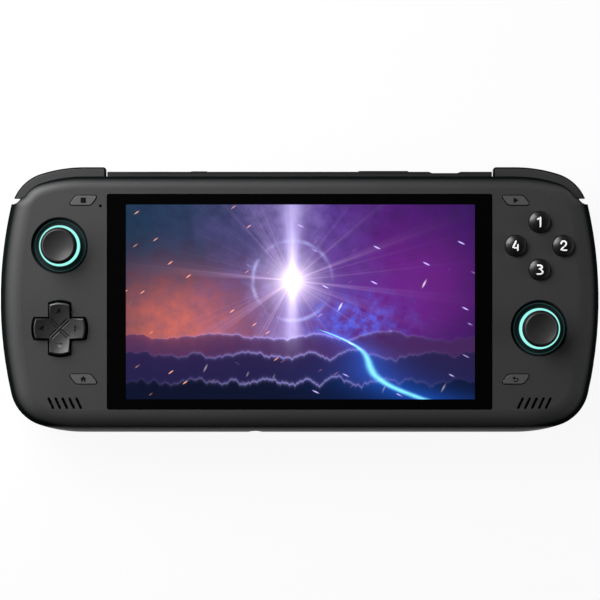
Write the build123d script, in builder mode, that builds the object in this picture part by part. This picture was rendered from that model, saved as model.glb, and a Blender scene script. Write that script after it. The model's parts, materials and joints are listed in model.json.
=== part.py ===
from build123d import *
import math
import os

os.makedirs("parts", exist_ok=True)

# The console lies on its back: +X to the right, +Y to the top edge, +Z out of the screen.
# Whole console, in millimetres
body_length = 227.2
body_height = 100.7
body_depth = 17.0        # front face to the middle of the back
grip_depth = 6.0         # the grips stand this far behind the middle
front_depth = 9.0        # front face to the parting line
wall = 2.0
side_radius = 160.0      # outline: the long side arc
corner_radius = 16.5     # outline: the corner arc
shoulder_radius = 54.0   # outline: the arc that runs into the straight edge
shoulder_start = 82.0    # outline: where the straight edge ends
front_round = 8.6        # rounding of the front edge
middle_round = 3.0       # rounding of the back edge between the grips
grip_round = 8.0         # rounding of the grips' outer edge
grip_start = 73.2        # inner side of each grip
grip_inner_round = 4.0
grip_slope = 5.0         # the grips' inner side slopes outwards by this
top_band = 3.8           # the front shell's top edge lies this far inside the outline
rear_top_band = 1.8      # and the rear cover's top edge this far
notch_low = 38.4         # lower end of the bumpers
notch_radius = 3.2
notch_x = 108.5
notch_y = 39.2
blend_start = 16.0       # degrees round the corner's centre: here the top edge starts to draw in
blend_end = 33.5         # and here it lies inside by the whole band
blend_sections = 7

# Clearances shared by many pieces
slip = 0.05              # running fit, on the radius
part_gap = 0.3           # between pieces that move past each other
seat_gap = 0.05          # a flange under its stop
overrun = 1.0            # cuts run past the surface by this
post_root = 0.25         # posts start this deep in the floor that carries them

# Places of the control clusters, measured from the middle of the body
control_x = 90.3
upper_y = 20.15
lower_y = -11.0

# Levels from back to front
front_z = grip_depth + body_depth
parting_z = front_z - front_depth
front_inner_z = front_z - wall
middle_floor_z = grip_depth + wall
grip_floor_z = wall
half_length = body_length / 2
half_height = body_height / 2

sides = {"left": -1, "right": 1}


# Outline: three tangent arcs in each quarter, and a straight top and bottom
side_centre = (half_length - side_radius, 0)
shoulder_centre = (shoulder_start, half_height - shoulder_radius)
centre_span = math.dist(side_centre, shoulder_centre)
centre_tilt = math.atan2(shoulder_centre[1] - side_centre[1], shoulder_centre[0] - side_centre[0])
side_reach = side_radius - corner_radius
shoulder_reach = shoulder_radius - corner_radius
side_turn = math.acos(
    (side_reach**2 + centre_span**2 - shoulder_reach**2) / (2 * side_reach * centre_span)
)
side_angle = math.degrees(centre_tilt + side_turn)
corner_centre = (
    side_centre[0] + side_reach * math.cos(math.radians(side_angle)),
    side_centre[1] + side_reach * math.sin(math.radians(side_angle)),
)
shoulder_angle = math.degrees(
    math.atan2(corner_centre[1] - shoulder_centre[1], corner_centre[0] - shoulder_centre[0])
)


def outline(inset):
    """The console's outline, moved evenly inwards by the inset."""
    with BuildSketch() as sketch:
        with BuildLine():
            CenterArc(side_centre, side_radius - inset, 0, side_angle)
            CenterArc(corner_centre, corner_radius - inset, side_angle, shoulder_angle - side_angle)
            CenterArc(shoulder_centre, shoulder_radius - inset, shoulder_angle, 90 - shoulder_angle)
            Line((shoulder_start, half_height - inset), (0, half_height - inset))
            mirror(about=Plane.YZ)
            mirror(about=Plane.XZ)
        make_face()
    return sketch.sketch


def shoulder_band(outer_inset, inner_inset, start_x, low_y, side):
    """The strip of the top corner between two insets, outside start_x and above low_y."""
    with BuildSketch() as sketch:
        add(outline(outer_inset))
        add(outline(inner_inset), mode=Mode.SUBTRACT)
        with Locations((side * (start_x + half_length), low_y + half_height)):
            Rectangle(2 * half_length, 2 * half_height, mode=Mode.INTERSECT)
    return sketch.sketch


def block_between(low, high, mode=Mode.ADD):
    """A box between two corners, in the part that is being built."""
    size = [abs(b - a) for a, b in zip(low, high)]
    corner = [min(a, b) for a, b in zip(low, high)]
    with Locations(tuple(corner)):
        Box(*size, align=(Align.MIN, Align.MIN, Align.MIN), mode=mode)


def rod_between(x, y, low_z, high_z, radius, mode=Mode.ADD):
    """An upright round rod or bore, in the part that is being built."""
    with Locations((x, y, low_z)):
        Cylinder(radius, high_z - low_z, align=(Align.CENTER, Align.CENTER, Align.MIN), mode=mode)


def cross_rod(axis_rotation, centre, length, radius, mode=Mode.ADD):
    """A round rod or bore that lies along X or Y, centred on a point."""
    with Locations(centre):
        Cylinder(radius, length, rotation=axis_rotation, mode=mode)


along_x = (0, 90, 0)
along_y = (90, 0, 0)


def case_block(inset, low_z, high_z, rounding, rounded_end):
    """The whole outline as a block, with one end's edge rounded: 0 is the back, -1 the front."""
    with BuildPart() as block:
        with BuildSketch(Plane.XY.offset(low_z)):
            add(outline(inset))
        extrude(amount=high_z - low_z)
        fillet(block.faces().sort_by(Axis.Z)[rounded_end].edges(), radius=rounding)
    return block.part


# Screen: glass over a display panel of the 16:9 shape, in a window of the front shell
glass_width = 145.0
glass_height = 81.1
glass_thickness = 1.2
glass_corner = 0.8
glass_offset_y = -0.9
glass_gap = 0.1
glass_ledge = 3.0         # width of the ledge that the glass is bonded to
panel_width = 134.4
panel_height = 75.0
panel_thickness = 2.1
glass_under_z = front_z - glass_thickness
panel_under_z = glass_under_z - panel_thickness

with BuildPart() as screen_glass:
    with BuildSketch(Plane.XY.offset(glass_under_z)):
        with Locations((0, glass_offset_y)):
            RectangleRounded(glass_width, glass_height, glass_corner)
    extrude(amount=glass_thickness)
screen_glass.part.label = "screen_glass"
export_step(screen_glass.part, "parts/screen_glass.step")

with BuildPart() as display_panel:
    with BuildSketch(Plane.XY.offset(panel_under_z)):
        with Locations((0, glass_offset_y)):
            Rectangle(panel_width, panel_height)
    extrude(amount=panel_thickness)
display_panel.part.label = "display_panel"
export_step(display_panel.part, "parts/display_panel.step")


# Small system buttons: leaning four-sided keys, two corners well rounded
key_width = 8.4
key_lean = 2.6
key_height = 3.6
key_soft_corner = 2.0
key_tight_corner = 0.6
key_gap = 0.3
key_proud = 0.15
key_flange = 0.7
key_flange_thickness = 0.65
key_stem = 2.0
key_travel = 0.4
key_x = 81.4
key_top_y = 37.3
key_low_y = -30.0
key_places = {
    "select_button": (-key_x, key_top_y, 1),
    "start_button": (key_x, key_top_y, -1),
    "home_button": (-key_x, key_low_y, -1),
    "back_button": (key_x, key_low_y, 1),
}


def key_face(x, y, lean, grow):
    """A key's outline; lean 1 leans to the right at its top, -1 to the left."""
    half_top = key_height / 2
    shift = lean * key_lean / 2
    corners = [
        (-key_width / 2 - shift, -half_top),
        (key_width / 2 - shift, -half_top),
        (key_width / 2 + shift, half_top),
        (-key_width / 2 + shift, half_top),
    ]
    soft = [corners[1], corners[3]] if lean > 0 else [corners[0], corners[2]]
    with BuildSketch() as sketch:
        with BuildLine():
            Polyline(*corners, close=True)
        make_face()
        for vertex in sketch.vertices():
            near = min(math.dist((vertex.X, vertex.Y), point) for point in soft)
            radius = key_soft_corner if near < key_tight_corner else key_tight_corner
            fillet(sketch.vertices().sort_by_distance((vertex.X, vertex.Y, 0))[0], radius=radius)
        if grow > 0:
            offset(amount=grow)
    return Pos(x, y, 0) * sketch.sketch


# Sticks: cap on a shaft that clicks, in a ball, in a gimbal, in a fixed module
stick_pivot_z = 15.0
stick_places = {"left": (-control_x, upper_y), "right": (control_x, lower_y)}
well_radius = 10.7        # rim of the well in the front shell
well_depth = 0.9
well_step_radius = 9.7
ring_inner_radius = 6.5
ring_outer_radius = 7.9
ring_flange_radius = 10.4
ring_flange_thickness = 1.0
ring_proud = 0.3
cap_radius = 6.9
cap_edge_rise = 3.6       # widest edge above the front face
cap_rim_rise = 6.0
cap_rim_radius = 6.0
cap_dish_radius = 5.4
cap_dish_depth = 0.9
cap_under_rise = 2.9
cap_side_bulge = 0.35
stem_radius = 3.0
skirt_radius = 6.5
skirt_thickness = 0.8
skirt_polar_angle = 70.0
shaft_radius = 1.2
shaft_below_pivot = 4.4
gimbal_outer_radius = 4.1
gimbal_inner_radius = 2.9
gimbal_thickness = 1.8
trunnion_radius = 0.5
ball_radius = 2.6
module_size = 14.0
module_low_z = 8.3
module_high_z = 12.6
module_pocket_radius = 3.4
module_pocket_floor = 9.8
post_inner_x = 4.4
post_outer_x = 5.2
post_width = 2.4
post_above_pivot = 0.9
module_post_spread = 5.5
module_post_radius = 1.2

# Direction pad
pad_x = -control_x
pad_y = lower_y
pad_hole_width = 8.3
pad_hole_radius = 10.5
pad_arm_width = 7.5
pad_radius = 9.7
pad_edge_bevel = 0.6
pad_proud = 1.7
pad_dish = 0.9
pad_flange_radius = 8.4
pad_flange_thickness = 0.5
pad_flange_drop = 1.0     # below the front shell's inside
pad_pivot_z = 19.1
pad_ball_radius = 1.3
pad_fulcrum_radius = 2.0
pad_groove_width = 0.35
pad_groove_spacing = 1.0
pad_groove_depth = 0.25
pad_groove_reach = 4.6
pad_mark_radius = 1.45
pad_mark_place = 6.4
pad_mark_depth = 0.3

# Face buttons
face_pitch = 8.95
face_x = control_x
face_y = upper_y
face_hole_radius = 4.15
face_radius = 3.9
face_proud = 1.6
face_edge_proud = 0.8
face_flange_radius = 4.7
face_flange_thickness = 0.65
face_stem_radius = 1.6
face_travel = 1.0
face_places = {
    "face_button_top": (face_x, face_y + face_pitch),
    "face_button_right": (face_x + face_pitch, face_y),
    "face_button_bottom": (face_x, face_y - face_pitch),
    "face_button_left": (face_x - face_pitch, face_y),
}

# Boards and rubber mats behind the controls
board_thickness = 1.0
board_top_z = 16.6
board_low_z = board_top_z - board_thickness
board_inner_x = 76.0
board_outer_x = 103.5
board_low_y = -34.5
board_high_y = 32.0
board_ear_outer_x = 88.0
board_ear_high_y = 40.5
board_post_radius = 1.7
board_post_places = [(78.6, 29.4), (102.0, 29.0), (78.6, -24.4), (101.5, -26.5)]
mat_thickness = 0.5
mat_dome_radius = 2.4
mat_dome_top_radius = 1.8
mat_dome_height = 1.1
face_mat_radius = 12.5
pad_mat_radius = 11.0
switch_size = 3.0
switch_height = 0.6
small_screw_radius = 0.8
small_screw_head_radius = 1.5
small_screw_head_height = 0.7
small_screw_length = 3.2

# Speakers
speaker_x = 88.4
speaker_y = -39.1
slot_count = 5
slot_pitch = 2.62
slot_length = 4.8
slot_width = 1.0
slot_lean = 25.0
speaker_width = 13.0
speaker_height = 6.0
speaker_depth = 3.8
speaker_cone_share = 0.42
speaker_rise = 2.2        # the speaker sits this far above the middle of its slots

# Light bars in the long sides, at the parting line
light_low_y = -34.0
light_high_y = 28.0
light_height = 1.4
light_fit = 0.03

# Scoops in the case's edges: a hollow at the audio jack, and a dip over the memory card
jack_x = -16.8
jack_scoop_radius = 8.0
jack_scoop_depth = 0.5
card_x = 55.2
card_scoop_half_length = 6.2
card_scoop_ramp = 1.5
card_scoop_depth = 0.5

microphone_x = -75.0
microphone_y = 35.2
microphone_radius = 0.55

# Case screws
case_screw_radius = 1.0
case_screw_head_radius = 1.9
case_screw_head_height = 1.3
case_screw_length = 9.5
case_boss_radius = 2.6
case_screw_sink = 0.6
case_screw_middle_places = [(70.0, 41.5), (70.0, -41.5)]
case_screw_grip_places = [(100.5, 0.0)]

# Middle frame
frame_thickness = 1.2
frame_top_z = panel_under_z
frame_low_z = frame_top_z - frame_thickness
frame_width = 146.0
frame_height = 87.0
frame_corner = 3.0
frame_screw_length = 2.2
frame_boss_radius = 2.0
frame_boss_places = [(70.5, 0.0), (70.5, 30.0), (70.5, -30.0), (35.0, 41.2), (35.0, -41.2)]


def mirrored_places(places):
    """Each place on both sides of the middle."""
    return [(side * x, y) for x, y in places for side in (-1, 1)]


def jack_scoop():
    """Takes the hollow at the audio jack out of the part that is being built."""
    rod_between(
        jack_x, -half_height - jack_scoop_radius + jack_scoop_depth, 0, 2 * front_z,
        jack_scoop_radius, Mode.SUBTRACT,
    )


def card_scoop():
    """Takes the dip over the memory card out of the part that is being built."""
    edge_y = half_height - rear_top_band
    low_half = card_scoop_half_length - card_scoop_ramp
    with BuildSketch() as dip:
        with BuildLine():
            Polyline(
                (card_x - card_scoop_half_length, edge_y), (card_x - low_half, edge_y - card_scoop_depth),
                (card_x + low_half, edge_y - card_scoop_depth), (card_x + card_scoop_half_length, edge_y),
                (card_x + card_scoop_half_length, edge_y + overrun),
                (card_x - card_scoop_half_length, edge_y + overrun),
                close=True,
            )
        make_face()
    extrude(dip.sketch, amount=2 * front_z, mode=Mode.SUBTRACT)


# Front shell: its top edge lies inside the outline, and draws in to there along each top corner
def edge_section(angle, inset):
    """The shell's edge, drawn in by the inset, on an upright plane out of the corner's centre."""
    turn = math.radians(angle)
    plane = Plane(
        origin=(corner_centre[0], corner_centre[1], 0),
        x_dir=(math.cos(turn), math.sin(turn), 0), z_dir=(math.sin(turn), -math.cos(turn), 0),
    )
    rounding = front_round - inset
    flat_end = corner_radius - front_round
    outer = corner_radius - inset
    with BuildSketch(plane) as section:
        with BuildLine():
            Polyline(
                (outer, front_z - rounding), (outer, parting_z), (flat_end - 2 * overrun, parting_z),
                (flat_end - 2 * overrun, front_z), (flat_end, front_z),
            )
            CenterArc((flat_end, front_z - rounding), rounding, 0, 90)
        make_face()
    return section.sketch


with BuildPart() as corner_blend:
    for number in range(blend_sections):
        share = number / (blend_sections - 1)
        eased = share * share * (3 - 2 * share)
        add(edge_section(blend_start + share * (blend_end - blend_start), top_band * eased))
    loft()
    mirror(about=Plane.YZ)

def keep_beside(angle, far_y):
    """Keeps what lies towards far_y of a ray out of each top corner's centre."""
    ray_y = corner_centre[1] + (body_length - corner_centre[0]) * math.tan(math.radians(angle))
    with BuildSketch() as kept:
        with BuildLine():
            Polyline(
                (-body_length, far_y), (body_length, far_y), (body_length, ray_y), corner_centre,
                (-corner_centre[0], corner_centre[1]), (-body_length, ray_y), close=True,
            )
        make_face()
    extrude(kept.sketch, amount=2 * front_z, mode=Mode.INTERSECT)


with BuildPart() as full_edge:
    add(case_block(0, parting_z, front_z, front_round, -1))
    keep_beside(blend_start, -body_height)

with BuildPart() as drawn_edge:
    add(case_block(top_band, parting_z, front_z, front_round - top_band, -1))
    keep_beside(blend_end, 2 * body_height)

with BuildPart() as front_hollow:
    add(case_block(wall, parting_z - overrun, front_inner_z, front_round - wall, -1))
    block_between(
        (-body_length, -body_height, 0),
        (body_length, notch_y - notch_radius - wall, 2 * front_z), Mode.INTERSECT,
    )
    inner_band = top_band + wall
    inner_round = front_round - inner_band - wall / 2
    add(case_block(inner_band, parting_z - overrun, front_inner_z, inner_round, -1))

with BuildPart() as light_groove:
    for side in sides.values():
        with BuildSketch(Plane.XY.offset(parting_z - light_height / 2)):
            add(outline(-overrun))
            add(outline(wall + overrun), mode=Mode.SUBTRACT)
            with Locations((side * body_length / 2, (light_low_y + light_high_y) / 2)):
                Rectangle(body_length / 2, light_high_y - light_low_y, mode=Mode.INTERSECT)
        extrude(amount=light_height)

with BuildPart() as front_shell:
    with BuildSketch(Plane.XY.offset(parting_z)):
        add(outline(front_round + overrun))
    extrude(amount=front_depth)
    add(full_edge.part)
    add(drawn_edge.part)
    add(corner_blend.part)
    add(front_hollow.part, mode=Mode.SUBTRACT)
    for side in sides.values():
        rod_between(side * notch_x, notch_y, 0, 2 * front_z, notch_radius, Mode.SUBTRACT)
    # Posts for the control boards, the middle frame and the case screws
    for x, y in mirrored_places(board_post_places):
        rod_between(x, y, board_top_z, front_inner_z, board_post_radius)
    for x, y in mirrored_places(frame_boss_places):
        rod_between(x, y, frame_top_z, front_inner_z, frame_boss_radius)
    for x, y in mirrored_places(case_screw_middle_places + case_screw_grip_places):
        rod_between(x, y, parting_z, front_inner_z, case_boss_radius)
        rod_between(x, y, parting_z - overrun, front_inner_z, case_screw_radius + slip, Mode.SUBTRACT)
    for x, y in mirrored_places(board_post_places):
        top = board_low_z + small_screw_length + seat_gap
        rod_between(x, y, board_low_z, top, small_screw_radius + slip, Mode.SUBTRACT)
    for x, y in mirrored_places(frame_boss_places):
        top = frame_low_z + frame_screw_length + seat_gap
        rod_between(x, y, frame_low_z, top, small_screw_radius + slip, Mode.SUBTRACT)
    # Recess and window for the glass
    with BuildSketch(Plane.XY.offset(glass_under_z)):
        with Locations((0, glass_offset_y)):
            RectangleRounded(
                glass_width + 2 * glass_gap, glass_height + 2 * glass_gap, glass_corner + glass_gap
            )
    extrude(amount=glass_thickness + overrun, mode=Mode.SUBTRACT)
    with BuildSketch(Plane.XY.offset(front_inner_z - overrun)):
        with Locations((0, glass_offset_y)):
            Rectangle(glass_width - 2 * glass_ledge, glass_height - 2 * glass_ledge)
    extrude(amount=wall, mode=Mode.SUBTRACT)
    # Wells for the sticks
    for x, y in stick_places.values():
        rod_between(x, y, front_z - well_depth, front_z + overrun, well_radius, Mode.SUBTRACT)
        rod_between(x, y, front_inner_z - overrun, front_z, well_step_radius, Mode.SUBTRACT)
    # Cross hole for the direction pad
    with BuildSketch(Plane.XY.offset(front_inner_z - overrun)):
        with Locations((pad_x, pad_y)):
            Rectangle(2 * pad_hole_radius, pad_hole_width)
            Rectangle(pad_hole_width, 2 * pad_hole_radius)
            Circle(pad_hole_radius, mode=Mode.INTERSECT)
    extrude(amount=wall + 2 * overrun, mode=Mode.SUBTRACT)
    # Face button holes, key holes, speaker slots and the microphone hole
    for x, y in face_places.values():
        rod_between(x, y, front_inner_z - overrun, front_z + overrun, face_hole_radius, Mode.SUBTRACT)
    for x, y, lean in key_places.values():
        with BuildSketch(Plane.XY.offset(front_inner_z - overrun)):
            add(key_face(x, y, lean, key_gap))
        extrude(amount=wall + 2 * overrun, mode=Mode.SUBTRACT)
    for side in sides.values():
        with BuildSketch(Plane.XY.offset(front_inner_z - overrun)):
            with Locations((side * speaker_x, speaker_y)):
                with GridLocations(slot_pitch, 0, slot_count, 1):
                    SlotOverall(slot_length, slot_width, rotation=90 - side * slot_lean)
        extrude(amount=wall + 2 * overrun, mode=Mode.SUBTRACT)
    rod_between(
        microphone_x, microphone_y, front_inner_z - overrun, front_z + overrun,
        microphone_radius, Mode.SUBTRACT,
    )
    add(light_groove.part, mode=Mode.SUBTRACT)
    jack_scoop()
front_shell.part.label = "front_shell"
export_step(front_shell.part, "parts/front_shell.step")


# Rear cover: a flat middle and two deeper grips, with a pocket in each top corner
pocket_inset = 6.5
pocket_start = grip_start - slip
pocket_low = 36.3
grip_overlap = 6.0        # the middle runs this far into each grip


def grip_parting(inner_x, step_z, floor_z, rounding):
    """Takes the middle away between the grips, whose inner sides slope from the step to the floor."""
    low_x = inner_x + grip_slope / grip_depth * (step_z - floor_z)
    with BuildSketch(Plane.XZ) as section:
        with BuildLine():
            Polyline(
                (-half_length, floor_z - overrun), (half_length, floor_z - overrun),
                (half_length, floor_z), (low_x, floor_z), (inner_x, step_z), (inner_x, 2 * front_z),
                (-inner_x, 2 * front_z), (-inner_x, step_z), (-low_x, floor_z), (-half_length, floor_z),
                close=True,
            )
        make_face()
        fillet(section.vertices().group_by(Axis.Y)[1].sort_by(Axis.X)[1:3], radius=rounding)
    extrude(section.sketch, amount=body_height, both=True, mode=Mode.SUBTRACT)


with BuildPart() as grip_blocks:
    add(case_block(0, 0, parting_z, grip_round, 0))
    grip_parting(grip_start, grip_depth, 0, grip_inner_round)

with BuildPart() as middle_block:
    block_between(
        (-grip_start - grip_overlap, -half_height, grip_depth),
        (grip_start + grip_overlap, half_height - rear_top_band, parting_z),
    )
    fillet(middle_block.edges().filter_by(Axis.X).group_by(Axis.Z)[0], radius=middle_round)

with BuildPart() as pocket:
    for side in sides.values():
        with BuildSketch(Plane.XY.offset(-overrun)):
            add(shoulder_band(-overrun, pocket_inset, pocket_start, pocket_low, side))
        extrude(amount=parting_z + 2 * overrun)

with BuildPart() as pocket_wall:
    for side in sides.values():
        with BuildSketch(Plane.XY.offset(-overrun)):
            add(shoulder_band(
                -overrun, pocket_inset + wall, pocket_start - wall, pocket_low - wall, side
            ))
        extrude(amount=parting_z + 2 * overrun)

with BuildPart() as rear_hollow:
    add(case_block(wall, grip_floor_z, parting_z + overrun, grip_round - wall, 0))
    grip_lean = math.atan2(grip_slope, grip_depth)
    hollow_start = grip_start + wall / math.cos(grip_lean) - wall * math.tan(grip_lean)
    grip_parting(hollow_start, middle_floor_z, grip_floor_z, grip_inner_round - wall)
    block_between(
        (-grip_start - grip_overlap, -half_height + wall, middle_floor_z),
        (grip_start + grip_overlap, half_height - rear_top_band - wall, parting_z + overrun),
    )
    add(pocket_wall.part, mode=Mode.SUBTRACT)

# Top insert: a plate in the top edge that carries the vents, two controls and the card mouth
insert_half_length = 64.5
insert_slant = 2.4
insert_depth = 1.0
insert_low_z = 9.3
insert_high_z = parting_z
insert_gap = 0.1
insert_window_half = 61.0
insert_window_low_z = 9.9
insert_window_high_z = 13.3
insert_plug_depth = 0.9
top_y = half_height - rear_top_band
port_z = (insert_window_low_z + insert_window_high_z) / 2

# Bumpers and triggers
bumper_low_z = 9.4
bumper_high_z = parting_z - part_gap
bumper_thickness = 5.0
bumper_start = pocket_start + 2 * part_gap
bumper_edge_round = 0.8
bumper_end_round = 1.1
bumper_pivot_x = 80.0
bumper_pivot_y = 38.2
bumper_boss_radius = 2.2
bumper_arm_width = 4.0
bumper_arm_low_z = 10.3
bumper_arm_high_z = 13.2
bumper_pin_radius = 0.9
bumper_pin_sink = 4.0
bumper_window_gap = 1.2
trigger_low_z = 2.2
trigger_high_z = 9.0
trigger_inset = 0.4
trigger_thickness = 2.7
trigger_end_gap = 1.5
trigger_start = pocket_start + trigger_end_gap
trigger_low_y = 39.6
trigger_pivot_y = 38.3
trigger_pivot_z = 11.3
trigger_boss_radius = 1.9
trigger_arm_low_x = 85.6
trigger_arm_high_x = 89.2
trigger_arm_low_z = 4.4
trigger_arm_high_z = 7.6
trigger_pin_radius = 0.9
trigger_window_gap = 0.9
trigger_window_low_z = 2.9
trigger_window_high_z = 8.6

# Ports in the bottom edge
port_centre_z = 11.0
jack_mouth_radius = 2.8
jack_bore_radius = 1.8
jack_bore_length = 13.5
jack_body_width = 6.4
jack_body_low_z = 8.3
jack_wall_gap = 0.1
usb_width = 9.0
usb_height = 3.2
usb_wall = 0.3
usb_length = 7.6
usb_hole_gap = 0.25
usb_sink = 0.5            # the port's mouth lies this far inside the case's surface
usb_tongue_thickness = 0.7
usb_tongue_width = 6.7

# Cooling: intake slots in the back, fan, fins, vents in the top insert
fan_x = -11.5
fan_y = 14.5
fan_housing_half = 18.0
fan_housing_wall = 0.9
fan_housing_low_z = 10.4
fan_rotor_radius = 15.0
fan_hub_radius = 7.0
fan_blade_count = 13
fan_blade_thickness = 0.7
fan_blade_tip_gap = 0.8
fan_blade_lean = 30.0      # degrees from the radius
fan_blade_reach_share = 1.5
fan_intake_radius = 12.0
fan_axle_radius = 0.8
fan_rotor_low_z = 12.2
fan_rotor_high_z = 17.0
vent_count = 8
vent_pitch = 4.1
vent_width = 2.9
vent_height = 2.8
intake_slot_count = 7
intake_slot_pitch = 3.6
intake_slot_width = 1.6
intake_slot_length = 24.0

# Rear buttons on the back, beside the grips
rear_key_x = 64.5
rear_key_y = 8.0
rear_key_width = 7.0
rear_key_height = 17.0
rear_key_gap = 0.25
rear_key_proud = 0.7
rear_key_flange = 0.8
rear_key_flange_thickness = 0.8

# Vibration motors in the grips
motor_x = 97.0
motor_radius = 3.2
motor_low_y = -28.0
motor_length = 9.0
motor_z = 6.6
motor_shaft_radius = 0.6
weight_radius = 3.4
weight_length = 4.0
weight_gap = 0.5
cradle_width = 1.6
cradle_gap = 0.05
cradle_shares = (0.25, 0.75)

with BuildPart() as rear_cover:
    add(grip_blocks.part)
    add(middle_block.part)
    add(pocket.part, mode=Mode.SUBTRACT)
    add(rear_hollow.part, mode=Mode.SUBTRACT)
    # Screw posts, in the middle and in the grips
    for x, y in mirrored_places(case_screw_middle_places):
        rod_between(x, y, middle_floor_z - post_root, parting_z, case_boss_radius)
        rod_between(x, y, 0, parting_z, case_screw_radius + slip, Mode.SUBTRACT)
        head_top = grip_depth + case_screw_sink + case_screw_head_height
        rod_between(x, y, 0, head_top, case_screw_head_radius + 2 * slip, Mode.SUBTRACT)
    for x, y in mirrored_places(case_screw_grip_places):
        rod_between(x, y, grip_floor_z - post_root, parting_z, case_boss_radius)
        rod_between(x, y, -overrun, parting_z, case_screw_radius + slip, Mode.SUBTRACT)
        head_top = grip_depth + case_screw_sink + case_screw_head_height
        rod_between(x, y, -overrun, head_top, case_screw_head_radius + 2 * slip, Mode.SUBTRACT)
    # Posts under the stick modules
    for x, y in stick_places.values():
        with Locations((x, y, grip_floor_z - post_root)):
            with GridLocations(2 * module_post_spread, 2 * module_post_spread, 2, 2):
                Cylinder(
                    module_post_radius, module_low_z - grip_floor_z + post_root,
                    align=(Align.CENTER, Align.CENTER, Align.MIN),
                )
    for side in sides.values():
        # Post that holds the bumper's pin, and windows for the bumper's and the trigger's arms
        rod_between(
            side * bumper_pivot_x, bumper_pivot_y, grip_floor_z - post_root,
            bumper_arm_low_z - seat_gap, bumper_boss_radius,
        )
        rod_between(
            side * bumper_pivot_x, bumper_pivot_y, bumper_arm_low_z - bumper_pin_sink, parting_z,
            bumper_pin_radius + slip / 2, Mode.SUBTRACT,
        )
        half_window = bumper_arm_width / 2 + bumper_window_gap
        block_between(
            (side * (bumper_pivot_x - half_window), bumper_pivot_y + bumper_boss_radius,
             bumper_arm_low_z - part_gap),
            (side * (bumper_pivot_x + half_window), half_height, parting_z + overrun),
            Mode.SUBTRACT,
        )
        block_between(
            (side * (trigger_arm_low_x - trigger_window_gap), trigger_pivot_y, trigger_window_low_z),
            (side * (trigger_arm_high_x + trigger_window_gap), half_height, trigger_window_high_z),
            Mode.SUBTRACT,
        )
        # Cradle for the vibration motor
        for share in cradle_shares:
            cradle_y = motor_low_y + share * motor_length
            cradle_half = motor_radius + wall
            block_between(
                (side * motor_x - cradle_half, cradle_y - cradle_width / 2, grip_floor_z - post_root),
                (side * motor_x + cradle_half, cradle_y + cradle_width / 2, motor_z),
            )
        motor_middle = (side * motor_x, motor_low_y + motor_length / 2, motor_z)
        cross_rod(along_y, motor_middle, motor_length, motor_radius + cradle_gap, Mode.SUBTRACT)
        # Hole for the rear button
        with BuildSketch(Plane.XY.offset(grip_depth - overrun)):
            with Locations((side * rear_key_x, rear_key_y)):
                SlotOverall(
                    rear_key_height + 2 * rear_key_gap, rear_key_width + 2 * rear_key_gap, rotation=90
                )
        extrude(amount=wall + 2 * overrun, mode=Mode.SUBTRACT)
        rod_between(side * notch_x, notch_y, -overrun, 2 * front_z, notch_radius, Mode.SUBTRACT)
    # Recess and window for the top insert
    with BuildSketch(Plane.XZ.offset(-top_y)):
        with BuildLine():
            Polyline(
                (-insert_half_length + insert_slant, insert_low_z - insert_gap),
                (insert_half_length - insert_slant, insert_low_z - insert_gap),
                (insert_half_length + insert_gap, insert_high_z),
                (-insert_half_length - insert_gap, insert_high_z),
                close=True,
            )
        make_face()
    extrude(amount=insert_depth, both=True, mode=Mode.SUBTRACT)
    block_between(
        (-insert_window_half, top_y - wall - overrun, insert_window_low_z),
        (insert_window_half, top_y, insert_window_high_z),
        Mode.SUBTRACT,
    )
    # Intake slots
    with BuildSketch(Plane.XY.offset(grip_depth - overrun)):
        with Locations((fan_x, fan_y)):
            with GridLocations(0, intake_slot_pitch, 1, intake_slot_count):
                SlotOverall(intake_slot_length, intake_slot_width)
    extrude(amount=wall + 2 * overrun, mode=Mode.SUBTRACT)
    # Mouths of the audio jack and the charging port
    with BuildSketch(Plane.XZ.offset(half_height + overrun)):
        with Locations((jack_x, port_centre_z)):
            Circle(jack_mouth_radius)
        with Locations((0, port_centre_z)):
            SlotOverall(usb_width + 2 * usb_hole_gap, usb_height + 2 * usb_hole_gap)
    extrude(amount=-wall - 2 * overrun, mode=Mode.SUBTRACT)
    add(light_groove.part, mode=Mode.SUBTRACT)
    jack_scoop()
    card_scoop()
rear_cover.part.label = "rear_cover"
export_step(rear_cover.part, "parts/rear_cover.step")


# Top insert, with the vents, the holes for its two controls and the card mouth
power_x = -53.7
power_width = 8.4
power_proud = 0.1
rocker_x = 31.9
rocker_width = 19.2
top_key_height = 2.4
rocker_proud = 0.4
top_key_gap = 0.2
top_key_flange = 0.45
top_key_flange_thickness = 0.5
power_travel = 0.4
rocker_flange_drop = 0.35
card_mouth_width = 11.4
card_mouth_height = 1.0
card_mouth_z = 12.7
pad_bump_x = -38.3
pad_bump_width = 6.3
pad_bump_height = 0.25
insert_inner_y = top_y - insert_depth - insert_plug_depth

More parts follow.
